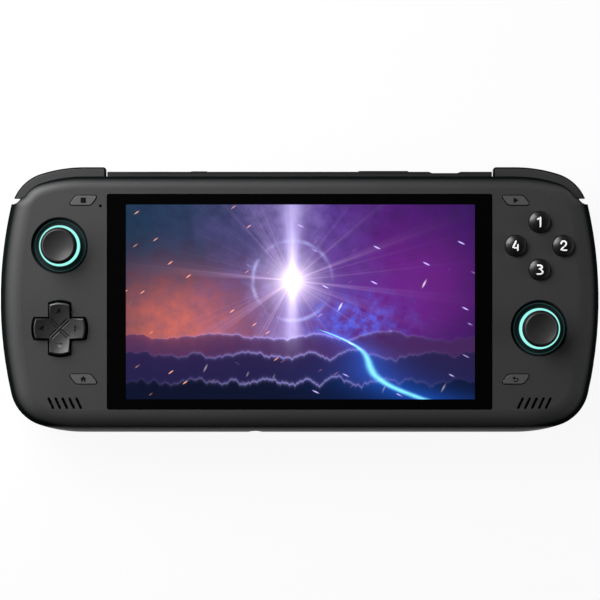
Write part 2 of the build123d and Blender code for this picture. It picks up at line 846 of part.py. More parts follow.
with BuildPart() as top_insert:
    with BuildSketch(Plane.XZ.offset(-top_y)):
        with BuildLine():
            Polyline(
                (-insert_half_length + insert_slant, insert_low_z),
                (insert_half_length - insert_slant, insert_low_z),
                (insert_half_length, insert_high_z),
                (-insert_half_length, insert_high_z),
                close=True,
            )
        make_face()
    extrude(amount=insert_depth)
    block_between(
        (-insert_window_half + insert_gap, insert_inner_y, insert_window_low_z + insert_gap),
        (insert_window_half - insert_gap, top_y - insert_depth, insert_window_high_z - insert_gap),
    )
    with BuildSketch(Plane.XZ.offset(-top_y)):
        with Locations((pad_bump_x, port_z)):
            SlotOverall(pad_bump_width, top_key_height)
    extrude(amount=-pad_bump_height)
    with BuildSketch(Plane.XZ.offset(-top_y - overrun)):
        with Locations((fan_x, port_z)):
            with GridLocations(vent_pitch, 0, vent_count, 1):
                RectangleRounded(vent_width, vent_height, vent_width / 3)
        with Locations((power_x, port_z)):
            SlotOverall(power_width + 2 * top_key_gap, top_key_height + 2 * top_key_gap)
        with Locations((rocker_x, port_z)):
            SlotOverall(rocker_width + 2 * top_key_gap, top_key_height + 2 * top_key_gap)
        with Locations((card_x, card_mouth_z)):
            Rectangle(card_mouth_width, card_mouth_height)
    extrude(amount=insert_depth + insert_plug_depth + 2 * overrun, mode=Mode.SUBTRACT)
    card_scoop()
top_insert.part.label = "top_insert"
export_step(top_insert.part, "parts/top_insert.step")

with BuildPart() as power_button:
    with BuildSketch(Plane.XZ.offset(-insert_inner_y + seat_gap)):
        with Locations((power_x, port_z)):
            SlotOverall(power_width, top_key_height)
    extrude(amount=-(top_y + power_proud - insert_inner_y + seat_gap))
    with BuildSketch(Plane.XZ.offset(-insert_inner_y + seat_gap)):
        with Locations((power_x, port_z)):
            SlotOverall(power_width + 2 * top_key_flange, top_key_height + 2 * top_key_flange)
    extrude(amount=top_key_flange_thickness)
    fillet(power_button.faces().sort_by(Axis.Y)[-1].edges(), radius=power_proud)
power_button.part.label = "power_button"
export_step(power_button.part, "parts/power_button.step")

rocker_flange_y = insert_inner_y - rocker_flange_drop
with BuildPart() as volume_rocker:
    with BuildSketch(Plane.XZ.offset(-rocker_flange_y)):
        with Locations((rocker_x, port_z)):
            SlotOverall(rocker_width, top_key_height)
    extrude(amount=-(top_y + rocker_proud - rocker_flange_y))
    with BuildSketch(Plane.XZ.offset(-rocker_flange_y)):
        with Locations((rocker_x, port_z)):
            SlotOverall(rocker_width + 2 * top_key_flange, top_key_height + 2 * top_key_flange)
    extrude(amount=top_key_flange_thickness)
    fillet(volume_rocker.faces().sort_by(Axis.Y)[-1].edges(), radius=rocker_proud / 2)
volume_rocker.part.label = "volume_rocker"
export_step(volume_rocker.part, "parts/volume_rocker.step")


# System keys, held under the front shell by a flange, each over a small switch
key_flange_top_z = front_inner_z - seat_gap
key_stem_low_z = board_top_z + switch_height + key_travel + 2 * seat_gap
key_edge_round = 0.2
for name, (x, y, lean) in key_places.items():
    with BuildPart() as key:
        with BuildSketch(Plane.XY.offset(key_flange_top_z)):
            add(key_face(x, y, lean, 0))
        extrude(amount=wall + seat_gap + key_proud)
        fillet(key.faces().sort_by(Axis.Z)[-1].edges(), radius=key_edge_round)
        with BuildSketch(Plane.XY.offset(key_flange_top_z - key_flange_thickness)):
            add(key_face(x, y, lean, key_flange))
        extrude(amount=key_flange_thickness)
        block_between(
            (x - key_stem / 2, y - key_stem / 2, key_stem_low_z),
            (x + key_stem / 2, y + key_stem / 2, key_flange_top_z - key_flange_thickness),
        )
    key.part.label = name
    export_step(key.part, f"parts/{name}.step")

# Face buttons: domed tops over a flange and a short stem
face_dome = face_proud - face_edge_proud
face_dome_radius = (face_radius**2 + face_dome**2) / (2 * face_dome)
face_stem_low_z = board_top_z + mat_thickness + mat_dome_height + face_travel + 2 * seat_gap
for name, (x, y) in face_places.items():
    with BuildPart() as button:
        rod_between(x, y, key_flange_top_z, front_z + face_proud, face_radius)
        with Locations((x, y, front_z + face_proud - face_dome_radius)):
            Sphere(face_dome_radius, mode=Mode.INTERSECT)
        rod_between(
            x, y, key_flange_top_z - face_flange_thickness, key_flange_top_z, face_flange_radius
        )
        rod_between(x, y, face_stem_low_z, key_flange_top_z - face_flange_thickness, face_stem_radius)
    button.part.label = name
    export_step(button.part, f"parts/{name}.step")

# Direction pad: a dished cross that rocks on a ball, over a rubber mat
pad_flange_high_z = front_inner_z - pad_flange_drop
pad_flange_low_z = pad_flange_high_z - pad_flange_thickness
pad_top_z = front_z + pad_proud
pad_dish_radius = (pad_radius**2 + pad_dish**2) / (2 * pad_dish)
with BuildPart() as dpad_cross:
    with BuildSketch(Plane.XY.offset(pad_flange_high_z)):
        with Locations((pad_x, pad_y)):
            Rectangle(2 * pad_radius, pad_arm_width)
            Rectangle(pad_arm_width, 2 * pad_radius)
            Circle(pad_radius, mode=Mode.INTERSECT)
    extrude(amount=pad_top_z - pad_flange_high_z)
    chamfer(dpad_cross.faces().sort_by(Axis.Z)[-1].edges(), length=pad_edge_bevel)
    with Locations((pad_x, pad_y, pad_top_z - pad_dish + pad_dish_radius)):
        Sphere(pad_dish_radius, mode=Mode.SUBTRACT)
    rod_between(pad_x, pad_y, pad_flange_low_z, pad_flange_high_z, pad_flange_radius)
    # Two crossed double grooves in the middle, and a three-sided mark on each arm
    with BuildSketch(Plane.XY.offset(pad_top_z - pad_dish - pad_groove_depth)):
        for turn in (45, 135):
            with Locations(Location((pad_x, pad_y, 0), (0, 0, turn))):
                with GridLocations(0, pad_groove_spacing, 1, 2):
                    Rectangle(2 * pad_groove_reach, pad_groove_width)
    extrude(amount=pad_dish + pad_groove_depth + overrun, mode=Mode.SUBTRACT)
    mark_dish = pad_dish * (1 - (pad_mark_place / pad_radius) ** 2)
    with BuildSketch(Plane.XY.offset(pad_top_z - mark_dish - pad_mark_depth)):
        with Locations((pad_x, pad_y)):
            with PolarLocations(pad_mark_place, 4):
                RegularPolygon(pad_mark_radius, 3)
    extrude(amount=mark_dish + pad_mark_depth + overrun, mode=Mode.SUBTRACT)
    with Locations((pad_x, pad_y, pad_pivot_z)):
        Sphere(pad_ball_radius + slip, mode=Mode.SUBTRACT)
dpad_cross.part.label = "dpad_cross"
export_step(dpad_cross.part, "parts/dpad_cross.step")

with BuildPart() as dpad_pivot_ball:
    with Locations((pad_x, pad_y, pad_pivot_z)):
        Sphere(pad_ball_radius)
dpad_pivot_ball.part.label = "dpad_pivot_ball"
export_step(dpad_pivot_ball.part, "parts/dpad_pivot_ball.step")

with BuildPart() as dpad_fulcrum:
    rod_between(pad_x, pad_y, board_top_z, pad_pivot_z - part_gap, pad_fulcrum_radius)
    with Locations((pad_x, pad_y, pad_pivot_z)):
        Sphere(pad_ball_radius + slip, mode=Mode.SUBTRACT)
dpad_fulcrum.part.label = "dpad_fulcrum"
export_step(dpad_fulcrum.part, "parts/dpad_fulcrum.step")


def rubber_mat(x, y, radius, dome_places):
    """A thin rubber mat with a small dome under each place."""
    with BuildPart() as mat:
        rod_between(x, y, board_top_z, board_top_z + mat_thickness, radius)
        for dome_x, dome_y in dome_places:
            with Locations((dome_x, dome_y, board_top_z + mat_thickness)):
                Cone(
                    mat_dome_radius, mat_dome_top_radius, mat_dome_height,
                    align=(Align.CENTER, Align.CENTER, Align.MIN),
                )
    return mat.part


pad_dome_places = [
    (pad_x + pad_mark_place * dx, pad_y + pad_mark_place * dy)
    for dx, dy in ((1, 0), (-1, 0), (0, 1), (0, -1))
]
with BuildPart() as button_mats:
    add(rubber_mat(face_x, face_y, face_mat_radius, face_places.values()))
    add(rubber_mat(pad_x, pad_y, pad_mat_radius, pad_dome_places))
    rod_between(
        pad_x, pad_y, board_top_z - overrun, board_top_z + mat_thickness + overrun,
        pad_fulcrum_radius + slip, Mode.SUBTRACT,
    )
button_mats.part.label = "button_mats"
export_step(button_mats.part, "parts/button_mats.step")


# Sticks
def stick_cap(x, y):
    """The thumb cap: a dished head on a stem, with a domed skirt around the pivot."""
    face = front_z
    with BuildPart() as cap:
        with BuildSketch(Plane.XZ) as profile:
            with BuildLine():
                rim_out = (cap_rim_radius, face + cap_rim_rise - cap_side_bulge)
                rim_top = (cap_rim_radius - cap_side_bulge, face + cap_rim_rise)
                edge = (cap_radius, face + cap_edge_rise)
                under = (cap_radius - cap_side_bulge, face + cap_under_rise)
                Polyline(
                    (0, stick_pivot_z + skirt_radius - skirt_thickness / 2),
                    (stem_radius, stick_pivot_z + skirt_radius - skirt_thickness),
                    (stem_radius, face + cap_under_rise),
                    under,
                    edge,
                )
                middle = (
                    (edge[0] + rim_out[0]) / 2 + cap_side_bulge / 2, (edge[1] + rim_out[1]) / 2
                )
                ThreePointArc(edge, middle, rim_out)
                Line(rim_out, rim_top)
                dish_edge = (cap_dish_radius, face + cap_rim_rise - cap_side_bulge / 2)
                Line(rim_top, dish_edge)
                dish_bottom = (0, face + cap_rim_rise - cap_dish_depth)
                sag = dish_edge[1] - dish_bottom[1]
                ball = (cap_dish_radius**2 + sag**2) / (2 * sag)
                half = cap_dish_radius / 2
                half_rise = ball - math.sqrt(ball**2 - half**2)
                ThreePointArc(dish_edge, (half, dish_bottom[1] + half_rise), dish_bottom)
                Line(dish_bottom, (0, stick_pivot_z + skirt_radius - skirt_thickness / 2))
            make_face()
        revolve(axis=Axis.Z)
        with BuildSketch(Plane.XZ):
            with BuildLine():
                inner = skirt_radius - skirt_thickness
                low = math.radians(90 - skirt_polar_angle)
                top = math.radians(90)
                mid = (low + top) / 2
                points = [
                    [(r * math.cos(a), stick_pivot_z + r * math.sin(a)) for a in (low, mid, top)]
                    for r in (inner, skirt_radius)
                ]
                ThreePointArc(*points[0])
                Line(points[0][2], points[1][2])
                ThreePointArc(*reversed(points[1]))
                Line(points[1][0], points[0][0])
            make_face()
        revolve(axis=Axis.Z)
        rod_between(
            0, 0, stick_pivot_z, face + cap_under_rise, shaft_radius + slip / 2, Mode.SUBTRACT
        )
    return Pos(x, y, 0) * cap.part


for name, (x, y) in stick_places.items():
    with BuildPart() as cap:
        add(stick_cap(x, y))
    cap.part.label = f"{name}_stick_cap"
    export_step(cap.part, f"parts/{name}_stick_cap.step")

    with BuildPart() as shaft:
        rod_between(x, y, stick_pivot_z - shaft_below_pivot, front_z + cap_under_rise, shaft_radius)
    shaft.part.label = f"{name}_stick_shaft"
    export_step(shaft.part, f"parts/{name}_stick_shaft.step")

    # Ball: turns about Y in the gimbal, and the shaft slides in it
    with BuildPart() as ball:
        with Locations((x, y, stick_pivot_z)):
            Sphere(ball_radius)
        ball_pin_length = 2 * (gimbal_outer_radius - slip)
        cross_rod(along_y, (x, y, stick_pivot_z), ball_pin_length, trunnion_radius)
        rod_between(
            x, y, stick_pivot_z - skirt_radius, stick_pivot_z + skirt_radius,
            shaft_radius + slip, Mode.SUBTRACT,
        )
    ball.part.label = f"{name}_stick_ball"
    export_step(ball.part, f"parts/{name}_stick_ball.step")

    # Gimbal ring: turns about X in the module's posts
    with BuildPart() as gimbal:
        half = gimbal_thickness / 2
        rod_between(x, y, stick_pivot_z - half, stick_pivot_z + half, gimbal_outer_radius)
        cross_rod(along_x, (x, y, stick_pivot_z), 2 * post_outer_x, trunnion_radius)
        rod_between(
            x, y, stick_pivot_z - half - overrun, stick_pivot_z + half + overrun,
            gimbal_inner_radius, Mode.SUBTRACT,
        )
        cross_rod(
            along_y, (x, y, stick_pivot_z), 2 * skirt_radius, trunnion_radius + slip, Mode.SUBTRACT
        )
    gimbal.part.label = f"{name}_stick_gimbal"
    export_step(gimbal.part, f"parts/{name}_stick_gimbal.step")

# The fixed modules under the sticks, and the light rings around them
with BuildPart() as stick_modules:
    half = module_size / 2
    for x, y in stick_places.values():
        block_between((x - half, y - half, module_low_z), (x + half, y + half, module_high_z))
        rod_between(
            x, y, module_pocket_floor, module_high_z + overrun, module_pocket_radius, Mode.SUBTRACT
        )
        for side in (-1, 1):
            block_between(
                (x + side * post_inner_x, y - post_width / 2, module_high_z),
                (x + side * post_outer_x, y + post_width / 2, stick_pivot_z + post_above_pivot),
            )
        cross_rod(
            along_x, (x, y, stick_pivot_z), 2 * skirt_radius, trunnion_radius + slip, Mode.SUBTRACT
        )
stick_modules.part.label = "stick_modules"
export_step(stick_modules.part, "parts/stick_modules.step")

with BuildPart() as stick_light_rings:
    flange_low_z = front_inner_z - ring_flange_thickness
    for x, y in stick_places.values():
        rod_between(x, y, flange_low_z, front_inner_z, ring_flange_radius)
        rod_between(x, y, front_inner_z, front_z + ring_proud, ring_outer_radius)
        rod_between(
            x, y, flange_low_z - overrun, front_z + overrun, ring_inner_radius, Mode.SUBTRACT
        )
stick_light_rings.part.label = "stick_light_rings"
export_step(stick_light_rings.part, "parts/stick_light_rings.step")


# Bumpers: a strip along each top corner, on an arm that turns on an upright pin
for name, side in sides.items():
    with BuildPart() as bumper:
        with BuildSketch(Plane.XY.offset(bumper_low_z)) as bumper_end:
            add(outline(0))
            with Locations((side * (bumper_start + half_length), 0)):
                Rectangle(body_length, body_height, mode=Mode.INTERSECT)
            end = (side * bumper_start, half_height, 0)
            fillet(bumper_end.vertices().sort_by_distance(end)[0], radius=bumper_end_round)
        extrude(amount=bumper_high_z - bumper_low_z)
        end_faces = bumper.faces().filter_by(Axis.Z)
        fillet(end_faces.edges(), radius=bumper_edge_round)
        with BuildSketch(Plane.XY.offset(bumper_low_z)):
            add(outline(bumper_thickness))
        extrude(amount=bumper_high_z - bumper_low_z, mode=Mode.SUBTRACT)
        block_between(
            (0, notch_low, 0), (side * body_length, body_height, front_z), Mode.INTERSECT
        )
        block_between(
            (side * (bumper_pivot_x - bumper_arm_width / 2), bumper_pivot_y, bumper_arm_low_z),
            (side * (bumper_pivot_x + bumper_arm_width / 2), half_height - bumper_thickness / 2,
             bumper_arm_high_z),
        )
        pivot = (side * bumper_pivot_x, bumper_pivot_y)
        rod_between(*pivot, bumper_arm_low_z, bumper_arm_high_z, bumper_boss_radius)
        rod_between(*pivot, 0, parting_z, bumper_pin_radius + slip, Mode.SUBTRACT)
    bumper.part.label = f"{name}_bumper"
    export_step(bumper.part, f"parts/{name}_bumper.step")

# Triggers: a blade behind each bumper, on an arm that turns on a level pin in a bracket
trigger_edge_round = 1.0
trigger_arm_foot_y = 38.4
ear_thickness = 1.2
ear_gap = 0.3
ear_half_width = 1.8
ear_rise = 2.2
ear_spring_room = 1.8
bracket_base_thickness = 1.0
ear_low_y = trigger_pivot_y - ear_half_width
ear_high_y = trigger_pivot_y + ear_half_width
inner_ear_x = trigger_arm_low_x - ear_spring_room - ear_thickness
outer_ear_x = trigger_arm_high_x + ear_gap
trigger_pin_low_x = inner_ear_x
trigger_pin_high_x = outer_ear_x + ear_thickness

for name, side in sides.items():
    with BuildPart() as trigger:
        with BuildSketch(Plane.XY.offset(trigger_low_z)):
            add(outline(trigger_inset))
        extrude(amount=trigger_high_z - trigger_low_z)
        fillet(trigger.faces().filter_by(Axis.Z).edges(), radius=trigger_edge_round)
        with BuildSketch(Plane.XY.offset(trigger_low_z)):
            add(outline(trigger_inset + trigger_thickness))
        extrude(amount=trigger_high_z - trigger_low_z, mode=Mode.SUBTRACT)
        block_between(
            (side * trigger_start, trigger_low_y, 0),
            (side * 2 * half_length, body_height, front_z),
            Mode.INTERSECT,
        )
        grip_parting(trigger_start, grip_depth, 0, trigger_edge_round)
        with BuildSketch(Plane.YZ.offset(side * trigger_arm_low_x)):
            with BuildLine():
                blade_y = half_height - trigger_thickness
                Polyline(
                    (blade_y, trigger_arm_low_z),
                    (blade_y, trigger_arm_high_z),
                    (trigger_pivot_y + trigger_boss_radius, trigger_arm_high_z),
                    (trigger_pivot_y + trigger_boss_radius, trigger_pivot_z),
                    (trigger_pivot_y - trigger_boss_radius, trigger_pivot_z),
                    (trigger_arm_foot_y, trigger_arm_low_z),
                    close=True,
                )
            make_face()
            with Locations((trigger_pivot_y, trigger_pivot_z)):
                Circle(trigger_boss_radius)
                Circle(trigger_pin_radius + slip, mode=Mode.SUBTRACT)
        extrude(amount=side * (trigger_arm_high_x - trigger_arm_low_x))
    trigger.part.label = f"{name}_trigger"
    export_step(trigger.part, f"parts/{name}_trigger.step")

with BuildPart() as trigger_brackets:
    for side in sides.values():
        block_between(
            (side * inner_ear_x, ear_low_y, grip_floor_z),
            (side * trigger_pin_high_x, ear_high_y, grip_floor_z + bracket_base_thickness),
        )
        for ear_x in (inner_ear_x, outer_ear_x):
            block_between(
                (side * ear_x, ear_low_y, grip_floor_z),
                (side * (ear_x + ear_thickness), ear_high_y, trigger_pivot_z + ear_rise),
            )
        pin_middle = side * (trigger_pin_low_x + trigger_pin_high_x) / 2
        cross_rod(
            along_x, (pin_middle, trigger_pivot_y, trigger_pivot_z),
            trigger_pin_high_x - trigger_pin_low_x + overrun,
            trigger_pin_radius + slip / 2, Mode.SUBTRACT,
        )
trigger_brackets.part.label = "trigger_brackets"
export_step(trigger_brackets.part, "parts/trigger_brackets.step")

# Pins of both kinds: upright ones for the bumpers, level ones for the triggers
with BuildPart() as shoulder_pins:
    for side in sides.values():
        rod_between(
            side * bumper_pivot_x, bumper_pivot_y, bumper_arm_low_z - bumper_pin_sink,
            parting_z - seat_gap, bumper_pin_radius,
        )
        pin_middle = side * (trigger_pin_low_x + trigger_pin_high_x) / 2
        cross_rod(
            along_x, (pin_middle, trigger_pivot_y, trigger_pivot_z),
            trigger_pin_high_x - trigger_pin_low_x, trigger_pin_radius,
        )
shoulder_pins.part.label = "shoulder_pins"
export_step(shoulder_pins.part, "parts/shoulder_pins.step")

spring_gap = 0.2
spring_wire = 0.7
with BuildPart() as trigger_springs:
    for side in sides.values():
        spring_low_x = inner_ear_x + ear_thickness + spring_gap
        spring_high_x = trigger_arm_low_x - spring_gap
        middle = (side * (spring_low_x + spring_high_x) / 2, trigger_pivot_y, trigger_pivot_z)
        length = spring_high_x - spring_low_x
        cross_rod(along_x, middle, length, trigger_pin_radius + slip + spring_wire)
        cross_rod(along_x, middle, length + overrun, trigger_pin_radius + slip, Mode.SUBTRACT)
trigger_springs.part.label = "trigger_springs"
export_step(trigger_springs.part, "parts/trigger_springs.step")


# Rear buttons
for name, side in sides.items():
    with BuildPart() as rear_button:
        with BuildSketch(Plane.XY.offset(grip_depth - rear_key_proud)):
            with Locations((side * rear_key_x, rear_key_y)):
                SlotOverall(rear_key_height, rear_key_width, rotation=90)
        extrude(amount=rear_key_proud + wall + seat_gap)
        with BuildSketch(Plane.XY.offset(middle_floor_z + seat_gap)):
            with Locations((side * rear_key_x, rear_key_y)):
                SlotOverall(
                    rear_key_height + 2 * rear_key_flange, rear_key_width + 2 * rear_key_flange,
                    rotation=90,
                )
        extrude(amount=rear_key_flange_thickness)
        fillet(rear_button.faces().sort_by(Axis.Z)[0].edges(), radius=rear_key_proud / 2)
    rear_button.part.label = f"{name}_rear_button"
    export_step(rear_button.part, f"parts/{name}_rear_button.step")


# Light bars in the long sides
with BuildPart() as side_light_bars:
    for side in sides.values():
        with BuildSketch(Plane.XY.offset(parting_z - light_height / 2 + light_fit)):
            add(outline(0))
            add(outline(wall), mode=Mode.SUBTRACT)
            with Locations((side * body_length / 2, (light_low_y + light_high_y) / 2)):
                Rectangle(
                    body_length / 2, light_high_y - light_low_y - 2 * light_fit, mode=Mode.INTERSECT
                )
        extrude(amount=light_height - 2 * light_fit)
side_light_bars.part.label = "side_light_bars"
export_step(side_light_bars.part, "parts/side_light_bars.step")


# Middle frame: a metal plate behind the display that carries the battery, boards and fan
main_board_low_x = 8.5
main_board_high_x = 66.5
main_board_low_y = -3.5
main_board_high_y = 43.5
main_board_top_z = 14.8
main_board_thickness = 1.2
main_board_low_z = main_board_top_z - main_board_thickness
power_board_low_x = -66.5
power_board_high_x = -32.0
power_board_low_y = 22.0
port_board_low_x = -24.0
port_board_high_x = 10.0
port_board_low_y = -46.5
port_board_high_y = -34.5
port_board_thickness = 1.0
port_board_low_z = 2 * port_centre_z - jack_body_low_z
battery_half_length = 62.0
battery_low_y = -33.5
battery_high_y = -5.0
battery_thickness = 6.8
battery_corner = 1.2
battery_web_inset = 3.0
standoff_radius = 1.8
standoff_inset = 3.0
ribbon_x = 40.0
ribbon_y = 10.0
ribbon_width = 12.0
ribbon_thickness = 0.3

frame_holes = mirrored_places(case_screw_middle_places)
standoff_places = [
    (main_board_low_x + standoff_inset, main_board_low_y + standoff_inset),
    (main_board_high_x - standoff_inset, main_board_low_y + standoff_inset),
    (main_board_high_x - standoff_inset, main_board_high_y - 3 * standoff_inset),
    (power_board_low_x + standoff_inset, power_board_low_y + standoff_inset),
    (power_board_high_x - standoff_inset, main_board_high_y - 3 * standoff_inset),
]
port_standoff_places = [
    (port_board_low_x + standoff_inset, port_board_high_y - standoff_inset),
    (port_board_high_x - standoff_inset, port_board_high_y - standoff_inset),
]
with BuildPart() as middle_frame:
    with BuildSketch(Plane.XY.offset(frame_low_z)):
        RectangleRounded(frame_width, frame_height, frame_corner)
        with Locations(frame_holes):
            Circle(case_boss_radius + part_gap, mode=Mode.SUBTRACT)
        with Locations(mirrored_places(frame_boss_places)):
            Circle(small_screw_radius + slip, mode=Mode.SUBTRACT)
        with Locations((ribbon_x, ribbon_y)):
            Rectangle(
                ribbon_width + 2 * part_gap, ribbon_thickness + 4 * part_gap, mode=Mode.SUBTRACT
            )
    extrude(amount=frame_thickness)
    for x, y in standoff_places:
        rod_between(x, y, main_board_top_z, frame_low_z, standoff_radius)
    for x, y in port_standoff_places:
        rod_between(x, y, port_board_low_z + port_board_thickness, frame_low_z, standoff_radius)
middle_frame.part.label = "middle_frame"
export_step(middle_frame.part, "parts/middle_frame.step")

with BuildPart() as display_ribbon:
    with Locations((ribbon_x, ribbon_y, main_board_top_z)):
        Box(
            ribbon_width, ribbon_thickness, frame_top_z - main_board_top_z,
            align=(Align.CENTER, Align.CENTER, Align.MIN),
        )
display_ribbon.part.label = "display_ribbon"
export_step(display_ribbon.part, "parts/display_ribbon.step")

with BuildPart() as battery_pack:
    with BuildSketch(Plane.XY.offset(frame_low_z - battery_thickness)):
        with Locations((0, (battery_low_y + battery_high_y) / 2)):
            with GridLocations(battery_half_length, 0, 2, 1):
                RectangleRounded(
                    battery_half_length - part_gap, battery_high_y - battery_low_y, battery_corner
                )
    extrude(amount=battery_thickness)
    block_between(
        (-part_gap, battery_low_y + battery_web_inset, frame_low_z - battery_web_inset),
        (part_gap, battery_high_y - battery_web_inset, frame_low_z),
    )
battery_pack.part.label = "battery_pack"
export_step(battery_pack.part, "parts/battery_pack.step")

# Main board with its chips, and the smaller boards
chip_x = 26.0
chip_y = 18.0
chip_size = 14.0
chip_height = 1.2
memory_width = 12.0
memory_height = 9.0
memory_x = 47.0
with BuildPart() as main_board:
    block_between(
        (main_board_low_x, main_board_low_y, main_board_low_z),
        (main_board_high_x, main_board_high_y, main_board_top_z),
    )
    with BuildSketch(Plane.XY.offset(main_board_low_z)):
        with Locations((memory_x, chip_y), (memory_x, chip_y - 1.5 * memory_height)):
            Rectangle(memory_width, memory_height)
        with Locations((chip_x, chip_y)):
            Rectangle(chip_size, chip_size)
    extrude(amount=-chip_height)
main_board.part.label = "main_board"
export_step(main_board.part, "parts/main_board.step")

switch_reach = 3.0
with BuildPart() as power_board:
    block_between(
        (power_board_low_x, power_board_low_y, main_board_low_z),
        (power_board_high_x, main_board_high_y, main_board_top_z),
    )
    block_between(
        (power_x - switch_size / 2, main_board_high_y - switch_reach, port_z - top_key_height / 2),
        (power_x + switch_size / 2, insert_inner_y - top_key_flange_thickness - power_travel
         - 3 * seat_gap, main_board_low_z),
    )
power_board.part.label = "power_board"
export_step(power_board.part, "parts/power_board.step")

jack_body_high_z = port_board_low_z
jack_front_y = -half_height + wall + jack_wall_gap
jack_mouth_y = -half_height + usb_sink
with BuildPart() as audio_jack:
    block_between(
        (jack_x - jack_body_width / 2, jack_front_y, jack_body_low_z),
        (jack_x + jack_body_width / 2, jack_mouth_y + jack_bore_length + overrun, jack_body_high_z),
    )
    mouth_length = jack_front_y - jack_mouth_y + overrun
    cross_rod(
        along_y, (jack_x, jack_mouth_y + mouth_length / 2, port_centre_z), mouth_length,
        jack_mouth_radius - jack_wall_gap,
    )
    cross_rod(
        along_y, (jack_x, jack_mouth_y, port_centre_z), 2 * jack_bore_length, jack_bore_radius,
        Mode.SUBTRACT,
    )
audio_jack.part.label = "audio_jack"
export_step(audio_jack.part, "parts/audio_jack.step")

with BuildPart() as usb_port:
    with BuildSketch(Plane.XZ.offset(-jack_mouth_y)):
        with Locations((0, port_centre_z)):
            SlotOverall(usb_width, usb_height)
            SlotOverall(usb_width - 2 * usb_wall, usb_height - 2 * usb_wall, mode=Mode.SUBTRACT)
    extrude(amount=-usb_length)
    with BuildSketch(Plane.XZ.offset(-jack_mouth_y - usb_length + usb_wall)):
        with Locations((0, port_centre_z)):
            SlotOverall(usb_width, usb_height)
    extrude(amount=-usb_wall)
    with BuildSketch(Plane.XZ.offset(-jack_mouth_y - usb_length + usb_wall)):
        with Locations((0, port_centre_z)):
            Rectangle(usb_tongue_width, usb_tongue_thickness)
    extrude(amount=usb_length - usb_wall - usb_sink)
    block_between(
        (-usb_tongue_width / 2, jack_mouth_y + usb_length / 2,
         port_centre_z + usb_height / 2 - usb_wall),
        (usb_tongue_width / 2, jack_mouth_y + usb_length, port_board_low_z),
    )
usb_port.part.label = "usb_port"
export_step(usb_port.part, "parts/usb_port.step")

with BuildPart() as port_board:
    block_between(
        (port_board_low_x, port_board_low_y, port_board_low_z),
        (port_board_high_x, port_board_high_y, port_board_low_z + port_board_thickness),
    )
port_board.part.label = "port_board"
export_step(port_board.part, "parts/port_board.step")

card_slot_width = 13.0
card_slot_height = 1.6
card_slot_length = 13.5
card_pocket_length = 12.0
with BuildPart() as card_slot:
    card_front_y = top_y - wall - seat_gap
    block_between(
        (card_x - card_slot_width / 2, card_front_y - card_slot_length,
         main_board_low_z - card_slot_height),
        (card_x + card_slot_width / 2, card_front_y, main_board_low_z),
    )
    block_between(
        (card_x - card_mouth_width / 2, card_front_y - card_pocket_length,
         card_mouth_z - card_mouth_height / 2),
        (card_x + card_mouth_width / 2, card_front_y + overrun, card_mouth_z + card_mouth_height / 2),
        Mode.SUBTRACT,
    )
card_slot.part.label = "card_slot"
export_step(card_slot.part, "parts/card_slot.step")


# Cooling
fin_low_x = -27.7
fin_high_x = 4.7
fin_low_y = 33.0
fin_high_y = half_height - top_band - wall - 2 * part_gap
fin_low_z = 8.8
fin_high_z = 18.3
fin_pitch = 1.8
fin_thickness = 0.4
fin_plate_thickness = 0.8
pipe_width = 5.0
pipe_thickness = 2.0
pipe_bend_radius = 7.0
pipe_y = 41.0
pipe_top_z = main_board_low_z - chip_height
fan_housing_high_z = frame_low_z

with BuildPart() as fan_housing:
    low = fan_y - fan_housing_half
    block_between(
        (fan_x - fan_housing_half, low, fan_housing_low_z),
        (fan_x + fan_housing_half, fan_y + fan_housing_half, fan_housing_high_z),
    )
    inner_radius = fan_rotor_radius + fan_blade_tip_gap
    inner_low = fan_housing_low_z + fan_housing_wall
    inner_high = fan_housing_high_z - fan_housing_wall
    rod_between(fan_x, fan_y, inner_low, inner_high, inner_radius, Mode.SUBTRACT)
    block_between(
        (fan_x - inner_radius, fan_y, inner_low),
        (fan_x + inner_radius, fan_y + fan_housing_half + overrun, inner_high),
        Mode.SUBTRACT,
    )
    rod_between(
        fan_x, fan_y, fan_housing_low_z - overrun, inner_low + overrun, fan_intake_radius,
        Mode.SUBTRACT,
    )
    rod_between(fan_x, fan_y, fan_rotor_low_z + overrun, inner_high + slip, fan_axle_radius)
fan_housing.part.label = "fan_housing"
export_step(fan_housing.part, "parts/fan_housing.step")

with BuildPart() as fan_rotor:
    rod_between(fan_x, fan_y, fan_rotor_low_z, fan_rotor_high_z, fan_hub_radius)
    blade_length = fan_rotor_radius - fan_hub_radius
    with BuildSketch(Plane.XY.offset(fan_rotor_low_z)):
        with Locations((fan_x, fan_y)):
            with PolarLocations(fan_hub_radius + blade_length / 2, fan_blade_count):
                Rectangle(
                    fan_blade_reach_share * blade_length, fan_blade_thickness, rotation=fan_blade_lean
                )
    extrude(amount=fan_rotor_high_z - fan_rotor_low_z)
    rod_between(fan_x, fan_y, fan_rotor_low_z - overrun, fan_rotor_high_z + overrun,
                fan_rotor_radius, Mode.INTERSECT)
    rod_between(fan_x, fan_y, fan_rotor_low_z - overrun, fan_rotor_high_z + overrun,
                fan_axle_radius + slip, Mode.SUBTRACT)
fan_rotor.part.label = "fan_rotor"
export_step(fan_rotor.part, "parts/fan_rotor.step")

